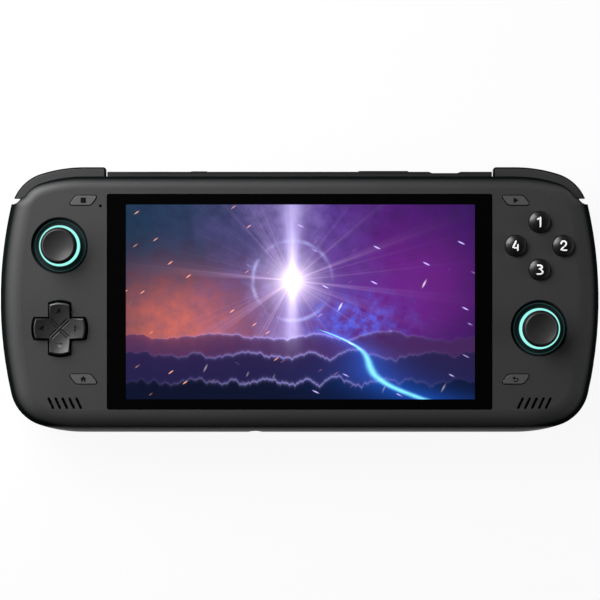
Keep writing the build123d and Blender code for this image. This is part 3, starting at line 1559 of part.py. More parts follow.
fin_count = int((fin_high_x - fin_low_x) / fin_pitch) + 1
with BuildPart() as heat_sink:
    block_between(
        (fin_low_x, fin_low_y, fin_high_z - fin_plate_thickness), (fin_high_x, fin_high_y, fin_high_z)
    )
    fin_middle = ((fin_low_x + fin_high_x) / 2, (fin_low_y + fin_high_y) / 2, fin_low_z)
    with Locations(fin_middle):
        with GridLocations(fin_pitch, 0, fin_count, 1):
            Box(
                fin_thickness, fin_high_y - fin_low_y, fin_high_z - fin_low_z,
                align=(Align.CENTER, Align.CENTER, Align.MIN),
            )
    block_between(
        (fin_low_x - fin_pitch, pipe_y - pipe_width / 2 - slip, pipe_top_z - pipe_thickness - slip),
        (fin_high_x + fin_pitch, pipe_y + pipe_width / 2 + slip, pipe_top_z + slip),
        Mode.SUBTRACT,
    )
heat_sink.part.label = "heat_sink"
export_step(heat_sink.part, "parts/heat_sink.step")

with BuildPart() as heat_pipe:
    with BuildLine() as pipe_route:
        FilletPolyline(
            (chip_x, chip_y - chip_size / 2, pipe_top_z - pipe_thickness / 2),
            (chip_x, pipe_y, pipe_top_z - pipe_thickness / 2),
            (fin_low_x, pipe_y, pipe_top_z - pipe_thickness / 2),
            radius=pipe_bend_radius,
        )
    with BuildSketch(Plane(origin=pipe_route.line @ 0, z_dir=pipe_route.line % 0, x_dir=(1, 0, 0))):
        RectangleRounded(pipe_width, pipe_thickness, pipe_thickness / 3)
    sweep(path=pipe_route.line)
heat_pipe.part.label = "heat_pipe"
export_step(heat_pipe.part, "parts/heat_pipe.step")


# Control boards with their key switches, hung from posts of the front shell
with BuildPart() as control_boards:
    for name, side in sides.items():
        with BuildSketch(Plane.XY.offset(board_low_z)):
            middle_x = side * (board_inner_x + board_outer_x) / 2
            with Locations((middle_x, (board_low_y + board_high_y) / 2)):
                Rectangle(board_outer_x - board_inner_x, board_high_y - board_low_y)
            ear_x = side * (board_inner_x + board_ear_outer_x) / 2
            with Locations((ear_x, (board_high_y + board_ear_high_y) / 2)):
                Rectangle(board_ear_outer_x - board_inner_x, board_ear_high_y - board_high_y)
            with Locations(stick_places[name]):
                Circle(skirt_radius + 2 * part_gap, mode=Mode.SUBTRACT)
            with Locations([(side * x, y) for x, y in case_screw_grip_places]):
                Circle(case_boss_radius + part_gap, mode=Mode.SUBTRACT)
            with Locations([(side * x, y) for x, y in board_post_places]):
                Circle(small_screw_radius + slip, mode=Mode.SUBTRACT)
        extrude(amount=board_thickness)
    for x, y, lean in key_places.values():
        with Locations((x, y, board_top_z)):
            Box(
                switch_size, switch_size, switch_height,
                align=(Align.CENTER, Align.CENTER, Align.MIN),
            )
control_boards.part.label = "control_boards"
export_step(control_boards.part, "parts/control_boards.step")

# Speakers behind the slots, and the microphone behind its hole
with BuildPart() as speakers:
    for side in sides.values():
        with Locations((side * speaker_x, speaker_y + speaker_rise, front_inner_z)):
            Box(
                speaker_width, speaker_height, speaker_depth,
                align=(Align.CENTER, Align.CENTER, Align.MAX),
            )
        with BuildSketch(Plane.XY.offset(front_inner_z)):
            with Locations((side * speaker_x, speaker_y + speaker_rise)):
                Ellipse(speaker_cone_share * speaker_width, speaker_cone_share * speaker_height)
        extrude(amount=-speaker_depth / 3, mode=Mode.SUBTRACT)
speakers.part.label = "speakers"
export_step(speakers.part, "parts/speakers.step")

microphone_width = 3.0
microphone_length = 2.4
microphone_height = 1.1
with BuildPart() as microphone:
    with Locations((microphone_x, microphone_y, front_inner_z)):
        Box(
            microphone_width, microphone_length, microphone_height,
            align=(Align.CENTER, Align.CENTER, Align.MAX),
        )
microphone.part.label = "microphone"
export_step(microphone.part, "parts/microphone.step")

# Vibration motors, each with an off-centre weight on its shaft
weight_shaft_depth = 4.0
motor_high_y = motor_low_y + motor_length
with BuildPart() as vibration_motors:
    for side in sides.values():
        motor_middle = (side * motor_x, (motor_low_y + motor_high_y) / 2, motor_z)
        cross_rod(along_y, motor_middle, motor_length, motor_radius)
        cross_rod(
            along_y, (side * motor_x, motor_low_y, motor_z), 2 * weight_shaft_depth,
            motor_shaft_radius + slip, Mode.SUBTRACT,
        )
vibration_motors.part.label = "vibration_motors"
export_step(vibration_motors.part, "parts/vibration_motors.step")

weight_high_y = motor_low_y - weight_gap
weight_low_y = weight_high_y - weight_length
for name, side in sides.items():
    with BuildPart() as vibration_weight:
        weight_middle = (side * motor_x, (weight_low_y + weight_high_y) / 2, motor_z)
        cross_rod(along_y, weight_middle, weight_length, weight_radius)
        block_between(
            (side * motor_x - weight_radius, weight_low_y - overrun, motor_z + motor_shaft_radius),
            (side * motor_x + weight_radius, weight_high_y + overrun, motor_z + 2 * weight_radius),
            Mode.SUBTRACT,
        )
        shaft_high_y = motor_low_y + weight_shaft_depth - slip
        cross_rod(
            along_y, (side * motor_x, (weight_low_y + shaft_high_y) / 2, motor_z),
            shaft_high_y - weight_low_y, motor_shaft_radius,
        )
    vibration_weight.part.label = f"{name}_vibration_weight"
    export_step(vibration_weight.part, f"parts/{name}_vibration_weight.step")


# Screws: a round head and a plain shank, from the back
def screw(x, y, head_low_z, head_radius, head_height, shank_radius, shank_length):
    """One screw with a cross recess in its head, which faces the back."""
    with BuildPart() as one:
        rod_between(x, y, head_low_z, head_low_z + head_height, head_radius)
        rod_between(
            x, y, head_low_z + head_height, head_low_z + head_height + shank_length, shank_radius
        )
        with BuildSketch(Plane.XY.offset(head_low_z)):
            with Locations((x, y)):
                Rectangle(head_radius, head_radius / 4)
                Rectangle(head_radius / 4, head_radius)
        extrude(amount=head_height / 2, mode=Mode.SUBTRACT)
    return one.part


with BuildPart() as case_screws:
    for x, y in mirrored_places(case_screw_middle_places + case_screw_grip_places):
        add(screw(
            x, y, grip_depth + case_screw_sink, case_screw_head_radius, case_screw_head_height,
            case_screw_radius, case_screw_length,
        ))
case_screws.part.label = "case_screws"
export_step(case_screws.part, "parts/case_screws.step")

with BuildPart() as board_screws:
    for x, y in mirrored_places(board_post_places):
        add(screw(
            x, y, board_low_z - small_screw_head_height, small_screw_head_radius,
            small_screw_head_height, small_screw_radius, small_screw_length,
        ))
    for x, y in mirrored_places(frame_boss_places):
        add(screw(
            x, y, frame_low_z - small_screw_head_height, small_screw_head_radius,
            small_screw_head_height, small_screw_radius, frame_screw_length,
        ))
board_screws.part.label = "board_screws"
export_step(board_screws.part, "parts/board_screws.step")
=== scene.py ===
import json
import math
import bmesh
import bpy
import numpy as np
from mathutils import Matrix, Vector


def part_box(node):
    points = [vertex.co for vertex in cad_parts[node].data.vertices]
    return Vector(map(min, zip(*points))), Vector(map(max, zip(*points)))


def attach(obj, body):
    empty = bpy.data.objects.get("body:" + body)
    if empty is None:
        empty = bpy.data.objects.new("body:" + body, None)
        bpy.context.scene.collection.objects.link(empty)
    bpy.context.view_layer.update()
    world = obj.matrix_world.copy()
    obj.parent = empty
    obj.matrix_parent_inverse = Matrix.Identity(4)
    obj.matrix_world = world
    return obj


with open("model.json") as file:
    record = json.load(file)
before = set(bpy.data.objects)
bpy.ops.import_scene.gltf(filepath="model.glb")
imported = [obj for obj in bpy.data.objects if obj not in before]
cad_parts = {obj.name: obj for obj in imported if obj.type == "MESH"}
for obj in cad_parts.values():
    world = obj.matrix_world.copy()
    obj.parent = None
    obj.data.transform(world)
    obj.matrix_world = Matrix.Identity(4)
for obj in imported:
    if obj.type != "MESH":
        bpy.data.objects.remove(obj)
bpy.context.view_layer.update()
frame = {"nodes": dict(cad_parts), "record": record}
nodes = frame["nodes"]
mm = 0.001               # sizes below are in millimetres and become metres by this
print("frame loaded:", len(nodes), "nodes")


# Shader maths

class Wire:
    # one output socket of a material; arithmetic on it adds Math nodes
    def __init__(self, graph, socket):
        self.graph = graph
        self.socket = socket

    def math(self, operation, *others):
        return self.graph.add("ShaderNodeMath", {"operation": operation}, [self, *others])

    def after(self, operation, other):
        return self.graph.add("ShaderNodeMath", {"operation": operation}, [other, self])

    def __add__(self, other):
        return self.math("ADD", other)

    def __radd__(self, other):
        return self.after("ADD", other)

    def __sub__(self, other):
        return self.math("SUBTRACT", other)

    def __rsub__(self, other):
        return self.after("SUBTRACT", other)

    def __mul__(self, other):
        return self.math("MULTIPLY", other)

    def __rmul__(self, other):
        return self.after("MULTIPLY", other)

    def __truediv__(self, other):
        return self.math("DIVIDE", other)

    def __pow__(self, other):
        return self.math("POWER", other)

    def step(self, low, high):
        # a soft step from 0 at low to 1 at high; low may be the larger of the two
        settings = {"interpolation_type": "SMOOTHSTEP"}
        return self.graph.add("ShaderNodeMapRange", settings, {0: self, 1: low, 2: high})

    def within(self, half, edge):
        # 1 up to half away from zero on either side and 0 beyond it, with a soft edge
        return self.math("ABSOLUTE").step(half + edge, half - edge)

    def bell(self):
        # e to the minus square
        return (self * self * -1.0).math("EXPONENT")

    def fade(self, length):
        # e to the minus value over a length
        return (self / -length).math("EXPONENT")


class Graph:
    # one node tree that is being wired up
    def __init__(self, tree):
        self.tree = tree
        tree.nodes.clear()

    def add(self, kind, settings=None, sockets=None, output=0):
        # adds a node: its settings first, then the values or links of its sockets
        node = self.tree.nodes.new(kind)
        for name, value in (settings or {}).items():
            if name == "stops":
                ramp = node.color_ramp
                while len(ramp.elements) < len(value):
                    ramp.elements.new(0.5)
                for element, (place, color) in zip(ramp.elements, value):
                    element.position = place
                    element.color = (*color, 1.0)
            else:
                setattr(node, name, value)
        pairs = sockets.items() if isinstance(sockets, dict) else enumerate(sockets or [])
        for key, value in pairs:
            if isinstance(value, Wire):
                self.tree.links.new(value.socket, node.inputs[key])
            elif isinstance(value, tuple) and len(value) == 3 and node.inputs[key].type == "RGBA":
                node.inputs[key].default_value = (*value, 1.0)
            else:
                node.inputs[key].default_value = value
        return Wire(self, node.outputs[output]) if len(node.outputs) else None

    def mix(self, factor, first, second, blend="MIX"):
        settings = {"data_type": "RGBA", "blend_type": blend, "clamp_result": False}
        return self.add("ShaderNodeMix", settings, {0: factor, 6: first, 7: second}, 2)

    def tinted(self, color, tone):
        # a colour made lighter or darker by a number
        return self.mix(1.0, color, self.add("ShaderNodeCombineColor", None, [tone] * 3), "MULTIPLY")

    def place(self):
        # the spot on the piece and its three parts, in millimetres
        spot = self.add("ShaderNodeTexCoord", output="Object")
        scaled = self.add("ShaderNodeVectorMath", {"operation": "SCALE"}, {0: spot, "Scale": 1 / mm})
        split = [self.add("ShaderNodeSeparateXYZ", None, [scaled], axis) for axis in range(3)]
        return scaled, split

    def noise(self, vector, size, detail=2.0, rough=0.5):
        # noise whose features are about one size across, in millimetres; below, a value that ends in
        # Noise holds size, detail and roughness, and one that ends in Detail the last two
        sockets = {"Vector": vector, "Scale": 1 / size, "Detail": detail, "Roughness": rough}
        return self.add("ShaderNodeTexNoise", None, sockets)

    def cells(self, vector, size):
        # distance to the nearest point of a flat cell pattern, in cells of about one size across
        return self.add(
            "ShaderNodeTexVoronoi", {"voronoi_dimensions": "2D"}, {"Vector": vector, "Scale": 1 / size}
        )


def newMaterial(name):
    material = bpy.data.materials.new(name)
    material.use_nodes = True
    return material, Graph(material.node_tree)


def principled(graph, **sockets):
    # one Principled shader; a word with _ stands for a socket's name with a space
    named = {word.replace("_", " "): value for word, value in sockets.items()}
    return graph.add("ShaderNodeBsdfPrincipled", None, named)


def finishSurface(graph, **sockets):
    graph.add("ShaderNodeOutputMaterial", None, [principled(graph, **sockets)])


def bumpFrom(graph, height, strength, depth=1.0):
    # a relief from a height; depth is the size of a height of 1, in millimetres
    sockets = {"Strength": strength, "Distance": depth * mm, "Height": height}
    return graph.add("ShaderNodeBump", None, sockets)


# Places and distances that several finishes follow

def topOf(node):
    # the middle of a node's box from above, and its highest z, in millimetres
    low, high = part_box(node)
    return (low.x + high.x) / 2 / mm, (low.y + high.y) / 2 / mm, high.z / mm


def reachFrom(px, py, names):
    # distance to the upright axis of the nearest of these nodes
    nearest = None
    for name in names:
        centreX, centreY = topOf(name)[:2]
        dx = px - centreX
        dy = py - centreY
        reach = (dx * dx + dy * dy).math("SQRT")
        nearest = reach if nearest is None else nearest.math("MINIMUM", reach)
    return nearest


def padParts(px, py):
    # on the cross: the distances along and across the nearer arm, and the distance to the middle
    centreX, centreY = topOf("dpad_cross")[:2]
    dx = (px - centreX).math("ABSOLUTE")
    dy = (py - centreY).math("ABSOLUTE")
    return dx.math("MAXIMUM", dy), dx.math("MINIMUM", dy), (dx * dx + dy * dy).math("SQRT")


stickShafts = ["left_stick_shaft", "right_stick_shaft"]
faceButtons = [f"face_button_{place}" for place in ("top", "right", "bottom", "left")]


# Plastics of the case and its controls

plasticLooks = {
    "shellPlastic": {
        "color": (0.048, 0.048, 0.049), "patch": 0.16, "speckle": 0.44, "roughness": 0.48,
        "roughSpread": 0.07, "grainSize": 0.34, "grainDepth": 0.016, "specular": 0.25,
        # band: painted shade, a near-black matt on the steep sides, a dark matt in the wells and a shadow
        # round the cross
        "band": {
            "color": (0.003, 0.004, 0.004), "low": 19.6, "high": 22.8,
            "lipLow": -47.6, "lipHigh": -49.4, "topLow": 40.0, "topHigh": 46.0, "topShift": 1.2,
            "wellShadeColor": (0.009, 0.012, 0.014), "wellRadius": 10.5, "wellEdge": 0.1,
            "wellRound": 0.4, "wellDrop": 0.50,
            "padReach": 10.5, "padHalf": 4.15, "padGapShadow": (0.25, 0.4),
        },
    },
    "coverPlastic": {
        "color": (0.026, 0.026, 0.027), "patch": 0.16, "speckle": 0.40, "roughness": 0.50,
        "roughSpread": 0.07, "grainSize": 0.34, "grainDepth": 0.016, "specular": 0.25,
    },
    "bumperPlastic": {
        "color": (0.046, 0.046, 0.047), "patch": 0.16, "speckle": 0.28, "roughness": 0.40,
        "roughSpread": 0.06, "grainSize": 0.30, "grainDepth": 0.012, "specular": 0.3,
        # rim: a painted shade line on the bumper's rounded edge
        "rim": {"node": "left_bumper", "high": 0.015, "low": 0.06, "end": 1.4},
    },
    "keyPlastic": {
        "color": (0.088, 0.088, 0.089), "patch": 0.12, "speckle": 0.24, "roughness": 0.42,
        "roughSpread": 0.05, "grainSize": 0.26, "grainDepth": 0.010, "specular": 0.4,
        # rim: a painted shade line on the key's rounded edge
        "rim": {"node": "home_button", "high": 0.02, "low": 0.10, "end": 2.0},
    },
    "padPlastic": {
        "color": (0.030, 0.030, 0.031), "patch": 0.12, "speckle": 0.20, "roughness": 0.36,
        "roughSpread": 0.06, "grainSize": 0.22, "grainDepth": 0.008, "specular": 0.4,
        "cross": {
            "half": 9.7, "dish": 1.7, "dishAcross": 2.9,
            "markPlace": 6.4, "markReach": 1.45, "markSlope": 0.5, "markEdge": 0.04,
            "lineFrom": 0.55, "lineHalf": 0.36, "lineFloor": 0.10, "lineDepth": 0.24,
            "lineReach": 4.9, "lineEnd": 0.2,
        },
    },
    "domePlastic": {
        "color": (0.007, 0.007, 0.008), "patch": 0.10, "speckle": 0.12, "roughness": 0.36,
        "roughSpread": 0.04, "grainSize": 0.20, "grainDepth": 0.003, "specular": 0.6,
        "crown": {"radius": 3.9, "rise": 0.7},
    },
    "insertPlastic": {
        "color": (0.020, 0.020, 0.021), "patch": 0.12, "speckle": 0.20, "roughness": 0.36,
        "roughSpread": 0.05, "grainSize": 0.24, "grainDepth": 0.008, "specular": 0.5,
    },
    "innerPlastic": {
        "color": (0.022, 0.022, 0.023), "patch": 0.20, "speckle": 0.20, "roughness": 0.55,
        "roughSpread": 0.08, "grainSize": 0.40, "grainDepth": 0.020, "specular": 0.4,
    },
}
plasticCommon = {
    "patchNoise": (26.0, 3.0), "grainDetail": (2.0, 0.6), "relief": 0.8,
    # rimShadeColor is the painted shade of that dark edge line
    "mattRoughness": 0.8, "rimShadeColor": (0.002, 0.002, 0.002), "rimEdge": 0.2,
}


def crossRelief(cross, px, py):
    # the pad's relief in millimetres: a dish that rises with the squared distance from its middle,
    # on each arm a three-sided facet that sinks inwards, and beside each diagonal a pair of grooves
    along, across, reach = padParts(px, py)
    centreX, centreY = topOf("dpad_cross")[:2]
    dish = ((px - centreX) / cross["half"]) ** 2.0 * cross["dishAcross"]
    dish = dish + ((py - centreY) / cross["half"]) ** 2.0 * cross["dish"]
    out = along - cross["markPlace"]
    base = -cross["markReach"] / 2
    edge = cross["markEdge"]
    inside = out.step(base - edge, base + edge)
    inside = inside * (out + across * 3**0.5).step(cross["markReach"] + edge, cross["markReach"] - edge)
    facet = inside * (out - cross["markReach"]) * cross["markSlope"]
    line = ((along - across) / 2**0.5 - cross["lineFrom"]).math("ABSOLUTE")
    line = line.step(cross["lineHalf"], cross["lineFloor"])
    line = line * reach.step(cross["lineReach"], cross["lineReach"] - cross["lineEnd"])
    return dish + facet - line * cross["lineDepth"]


def mattShade(graph, color, **sockets):
    # a shader that mirrors nothing
    rough = plasticCommon["mattRoughness"]
    return principled(graph, Base_Color=color, Roughness=rough, Specular_IOR_Level=0.0, **sockets)


def paintedShadeBand(graph, band, parts, relief, gloss):
    # painted shade: a dark matt along the seam, in the wells and round the cross; the lower lip stays bare
    px, py, pz = parts
    across, middle = padParts(px, py)[1:]
    beyond = (across - band["padHalf"]).math("MAXIMUM", middle - band["padReach"])
    reach = reachFrom(px, py, stickShafts)
    well = reach.step(band["wellRadius"] + band["wellEdge"], band["wellRadius"] - band["wellEdge"])
    # the matt's colours are painted shade: near black on the sides and round the cross, a dark tint in the
    # wells
    matt = mattShade(graph, graph.mix(well, band["color"], band["wellShadeColor"]), Normal=relief)
    lowered = pz - py.step(band["topLow"], band["topHigh"]) * band["topShift"]
    share = lowered.step(band["low"], band["high"]) * (1 - well) * beyond.step(*band["padGapShadow"])
    share = share.math("MAXIMUM", py.step(band["lipLow"], band["lipHigh"]))
    return graph.add("ShaderNodeMixShader", None, [share, matt, gloss])


def paintedRimShade(graph, rim, pz, gloss):
    # painted shade: a matt dark line on the rounded edge, just below the top face
    drop = topOf(rim["node"])[2] - pz
    share = drop.step(rim["high"], rim["low"])
    share = share * drop.step(rim["end"] + plasticCommon["rimEdge"], rim["end"])
    matt = mattShade(graph, plasticCommon["rimShadeColor"])
    return graph.add("ShaderNodeMixShader", None, [share, gloss, matt])


def plasticMaterial(name, look):
    # moulded plastic: a broad unevenness and a fine speckle in the colour, and a grain in the relief
    material, graph = newMaterial(name)
    spot, (px, py, pz) = graph.place()
    grain = graph.noise(spot, look["grainSize"], *plasticCommon["grainDetail"])
    broad = graph.noise(spot, *plasticCommon["patchNoise"]) - 0.5
    speck = grain - 0.5
    color = graph.tinted(look["color"], 1 + broad * look["patch"] + speck * look["speckle"])
    rough = look["roughness"] + speck * look["roughSpread"] + broad * look["roughSpread"]
    height = grain * look["grainDepth"]
    if "cross" in look:
        height = height + crossRelief(look["cross"], px, py)
    if "crown" in look:
        # a rounder crown: it falls with the squared distance from the button's middle
        crown = look["crown"]
        height = height - (reachFrom(px, py, faceButtons) / crown["radius"]) ** 2.0 * crown["rise"]
    if "band" in look:
        # a rounded edge round the wells
        band = look["band"]
        edge = reachFrom(px, py, stickShafts)
        edge = edge.step(band["wellRadius"], band["wellRadius"] + band["wellRound"])
        height = height + edge * band["wellDrop"]
    relief = bumpFrom(graph, height, plasticCommon["relief"])
    shader = principled(
        graph, Base_Color=color, Roughness=rough, Normal=relief, Specular_IOR_Level=look["specular"]
    )
    # painted shade: the dark matt band on the case
    if "band" in look:
        shader = paintedShadeBand(graph, look["band"], (px, py, pz), relief, shader)
    # painted shade: a dark line on the rounded edge of bumpers and keys
    if "rim" in look:
        shader = paintedRimShade(graph, look["rim"], pz, shader)
    graph.add("ShaderNodeOutputMaterial", None, [shader])
    return material


plastics = {name: plasticMaterial(name, look) for name, look in plasticLooks.items()}
print("plastics made")


# Rubber of the stick caps

capLook = {
    # the first colour, near black, is painted shade on the skirt; the rim line's colour is a painted
    # highlight
    "color": (0.003, 0.003, 0.003), "dishColor": (0.034, 0.034, 0.035), "skirtShadeFade": (6.0, 5.5),
    "edgeColor": (0.036, 0.028, 0.031), "edgeRadius": 5.9, "edgeWidth": 0.14,
    "tone": 0.85, "grainShade": 0.2, "cloudShade": 0.1, "cloudSize": 5.0,
    "roughness": 0.40, "grainRough": 0.1, "cloudRough": 0.08, "skirtRough": 0.4, "skirtFade": (5.9, 6.3),
    "specular": 0.25, "grainNoise": (0.28, 3.0, 0.6), "grainDepth": 0.014, "relief": 0.9,
    "dishRadius": 5.4, "dish": 0.55,
}


def capMaterial(name, look):
    # soft rubber: the skirt is painted near black as painted shade, and a thin paler line on the rim is a
    # painted highlight;
    # the dish rises with the squared distance from its middle
    material, graph = newMaterial(name)
    spot, parts = graph.place()
    reach = reachFrom(*parts[:2], stickShafts)
    grain = graph.noise(spot, *look["grainNoise"])
    cloud = graph.noise(spot, look["cloudSize"])
    # painted shade: the skirt beyond the dish is near black; painted highlight: a thin paler ring on the
    # rim
    zone = graph.mix(reach.step(*look["skirtShadeFade"]), look["color"], look["dishColor"])
    rimHighlight = ((reach - look["edgeRadius"]) / look["edgeWidth"]).bell()
    zone = graph.mix(rimHighlight, zone, look["edgeColor"])
    color = graph.tinted(zone, look["tone"] + grain * look["grainShade"] + cloud * look["cloudShade"])
    rough = look["roughness"] + (grain - 0.5) * look["grainRough"] + (cloud - 0.5) * look["cloudRough"]
    rough = rough + reach.step(*look["skirtFade"]) * look["skirtRough"]
    bowl = (reach.math("MINIMUM", look["dishRadius"]) / look["dishRadius"]) ** 2.0 * look["dish"]
    relief = bumpFrom(graph, grain * look["grainDepth"] + bowl, look["relief"])
    finishSurface(
        graph, Base_Color=color, Roughness=rough, Normal=relief, Specular_IOR_Level=look["specular"]
    )
    return material


# Lit rings and bars

lightLook = {
    "color": (0.33, 1.0, 0.90), "cloudColor": (0.45, 1.0, 0.93), "cloudShare": 0.2, "cloudSize": 3.0,
    "cloudFade": (0.3, 0.7), "body": (0.010, 0.018, 0.021), "roughness": 0.40, "cloudRough": 0.1,
    "strength": 1.0, "ringFade": (7.8, 7.6), "barFade": (109.0, 109.5), "lowGlow": 0.005,
    # painted light: a thin glowing line on the flange at a set radius, for the rings' light spilt into the
    # well
    "lineRadius": 9.6, "lineWidth": 0.25, "spillLineGlow": 0.06,
}


def lightMaterial(name, look):
    # a light guide: its raised rings and the bars glow, the flange in the well only faintly
    material, graph = newMaterial(name)
    spot, parts = graph.place()
    px, py = parts[:2]
    cloud = graph.noise(spot, look["cloudSize"])
    reach = reachFrom(px, py, stickShafts)
    # painted light: the rings' spilt light as a glowing line in the well
    line = ((reach - look["lineRadius"]) / look["lineWidth"]).bell() * look["spillLineGlow"]
    lit = px.math("ABSOLUTE").step(*look["barFade"]).math("MAXIMUM", reach.step(*look["ringFade"]))
    lit = lit.math("MAXIMUM", line).math("MAXIMUM", look["lowGlow"])
    share = cloud.step(*look["cloudFade"]) * look["cloudShare"]
    glow = graph.mix(share, look["color"], look["cloudColor"])
    finishSurface(
        graph, Base_Color=look["body"], Roughness=look["roughness"] + (cloud - 0.5) * look["cloudRough"],
        Emission_Color=graph.mix(lit, (0.0, 0.0, 0.0), glow), Emission_Strength=look["strength"],
    )
    return material


# Glass with the lit picture behind it

pictureLook = {
    "centre": (0.3, -0.95), "size": (131.3, 73.3), "edge": 0.08, "front": (22.9, 22.95),
    "border": (0.0016, 0.0016, 0.0018), "roughness": 0.05, "specular": 0.08, "strength": 1.0,
    "smearNoise": (18.0, 3.0), "smearRough": 0.04,
    "sky": [
        (0.00, (0.014, 0.040, 0.085)), (0.20, (0.028, 0.050, 0.120)), (0.34, (0.080, 0.070, 0.220)),
        (0.46, (0.260, 0.190, 0.520)), (0.58, (0.110, 0.045, 0.300)), (0.76, (0.065, 0.012, 0.160)),
        (1.00, (0.030, 0.008, 0.100)),
    ],
    "skyWarp": 0.30, "cloudNoise": (16.0, 6.0, 0.62), "wispNoise": (5.0, 5.0, 0.6),
    "wispColor": (0.010, 0.012, 0.045), "wispShare": 0.35, "wispFade": (0.35, 0.75),
    "ember": {"at": (-46, -9), "size": (26, 17), "color": (0.62, 0.115, 0.035), "share": (0.25, 1.1)},
    "haze": {"at": (44, 6), "size": (26, 22), "color": (0.12, 0.008, 0.13), "share": (0.2, 1.2)},
    "glow": {"at": (20, -8), "size": (17, 10), "color": (0.02, 0.16, 0.95), "fade": (0.35, 0.8)},
    "burst": {
        "at": (-3.0, 8.0), "rayColor": (0.95, 0.62, 1.0), "rayNoise": (0.16, 4.0, 0.7),
        "rayFade": (0.48, 0.78), "rayReach": 13.0, "rayPower": 1.3,
        "coreColor": (1.0, 0.88, 1.0), "coreReach": 3.4, "corePower": 2.6,
        "shaftColor": (0.70, 0.66, 1.0), "shaftHalf": 1.1, "shaftSpread": 0.10, "shaftReach": 26.0,
        "shaftShare": 0.5, "haloColor": (0.5, 0.6, 1.0), "haloRadius": 15.0, "haloWidth": 0.7,
        "haloFade": (0.4, 0.7), "haloPower": 0.5,
    },
    "hills": [
        {"rise": -13.0, "swing": 15.0, "size": 22.0, "color": (0.060, 0.022, 0.100), "mist": 0.55},
        {"rise": -20.0, "swing": 17.0, "size": 14.0, "color": (0.016, 0.014, 0.070), "mist": 0.35},
        {"rise": -30.0, "swing": 16.0, "size": 9.0, "color": (0.003, 0.006, 0.022), "mist": 0.20},
    ],
    "ridgeDetail": (6.0, 0.55), "ridgeApart": 3.0, "ridgeEdge": 0.12, "mistDepth": 7.0, "mistShare": 0.5,
    "ridgeColor": (0.45, 0.40, 0.95), "ridgeWidth": 0.35, "ridgePower": 0.6, "ridgeLit": (34, 60),
    "river": {
        "top": -10.0, "start": 6.0, "lean": 1.5, "bend": 4.2, "swing": 5.0, "width": 0.35,
        "widening": 0.06, "color": (0.25, 0.85, 1.0), "share": (0.4, 1.2), "fadeIn": 1.5,
        "spillReach": 6.0, "spillFadeIn": 3.0, "spillPower": 0.5,
    },
    "sparks": [
        {"turn": 0.62, "size": 6.5, "share": 0.35, "color": (1.0, 0.42, 0.22), "side": -1.0},
        {"turn": -0.45, "size": 8.0, "share": 0.35, "color": (0.62, 0.52, 1.0), "side": 1.0},
        {"turn": 1.1, "size": 11.0, "share": 0.5, "color": (1.0, 0.85, 0.95), "side": 0.0},
    ],
    "sparkStretch": 5.0, "sparkFade": (0.045, 0.012), "sparkPower": 1.4, "sparkNoise": (9.0, 1.0),
    "sparkSoft": 0.25, "sideSlope": 0.02, "sideShare": 0.6,
}


def softPatch(x, y, at, size):
    # a round soft patch: e to the minus squared distance, on stretched axes
    u = (x - at[0]) / size[0]
    v = (y - at[1]) / size[1]
    return ((u * u + v * v) * -1.0).math("EXPONENT")


def withSky(graph, look, x, y, cloud, wisp):
    # a ramp from left to right that is warped by clouds, with embers, a violet haze and a blue glow
    warped = x / look["size"][0] + 0.5 + (cloud - 0.5) * look["skyWarp"]
    sky = graph.add("ShaderNodeValToRGB", {"stops": look["sky"]}, [warped])
    color = graph.mix(wisp.step(*look["wispFade"]) * look["wispShare"], sky, look["wispColor"])
    ember, haze, glow = look["ember"], look["haze"], look["glow"]
    for patch, strength in (
        (ember, ember["share"][0] + wisp * ember["share"][1]),
        (haze, haze["share"][0] + cloud * haze["share"][1]),
        (glow, wisp.step(*glow["fade"])),
    ):
        share = softPatch(x, y, patch["at"], patch["size"]) * strength
        color = graph.mix(share, color, patch["color"], "ADD")
    return color


def withBurst(graph, burst, x, y, cloud, wisp, color):
    # rays that depend on the direction alone, an upright shaft of light, a bright core and a halo
    dx = x - burst["at"][0]
    dy = y - burst["at"][1]
    reach = (dx * dx + dy * dy).math("SQRT")
    outward = graph.add("ShaderNodeCombineXYZ", None, [dx / reach, dy / reach, 0.0])
    spokes = graph.noise(outward, *burst["rayNoise"]).step(*burst["rayFade"])
    rays = spokes * reach.fade(burst["rayReach"]) * burst["rayPower"]
    core = reach.fade(burst["coreReach"]) * burst["corePower"]
    tall = dy.math("ABSOLUTE")
    shaft = (dx / (burst["shaftHalf"] + tall * burst["shaftSpread"])).bell()
    shaft = shaft * tall.fade(burst["shaftReach"])
    halo = ((reach - burst["haloRadius"]) / burst["haloWidth"]).bell()
    halo = halo * cloud.step(*burst["haloFade"]) * burst["haloPower"]
    color = graph.mix(rays, color, burst["rayColor"], "ADD")
    color = graph.mix(shaft * (burst["shaftShare"] + wisp), color, burst["shaftColor"], "ADD")
    color = graph.mix(core, color, burst["coreColor"], "ADD")
    return graph.mix(halo, color, burst["haloColor"], "ADD")


def withHills(graph, look, x, y, color):
    # hills: each ridge line is a noise along x, farther ones paler, and lit near the burst
    for hill in look["hills"]:
        along = graph.add("ShaderNodeCombineXYZ", None, [x, hill["size"] * look["ridgeApart"], 0.0])
        uneven = graph.noise(along, hill["size"], *look["ridgeDetail"]) - 0.5
        depth = hill["rise"] + uneven * hill["swing"] - y
        mist = graph.mix(look["mistShare"], color, hill["color"])
        shade = graph.mix(depth.fade(look["mistDepth"]) * hill["mist"], hill["color"], mist)
        lit = softPatch(x, y, (look["burst"]["at"][0], hill["rise"]), look["ridgeLit"])
        edge = depth.math("ABSOLUTE").fade(look["ridgeWidth"]) * lit * look["ridgePower"]
        color = graph.mix(depth.step(-look["ridgeEdge"], look["ridgeEdge"]), color, shade)
        color = graph.mix(edge, color, look["ridgeColor"], "ADD")
    return color


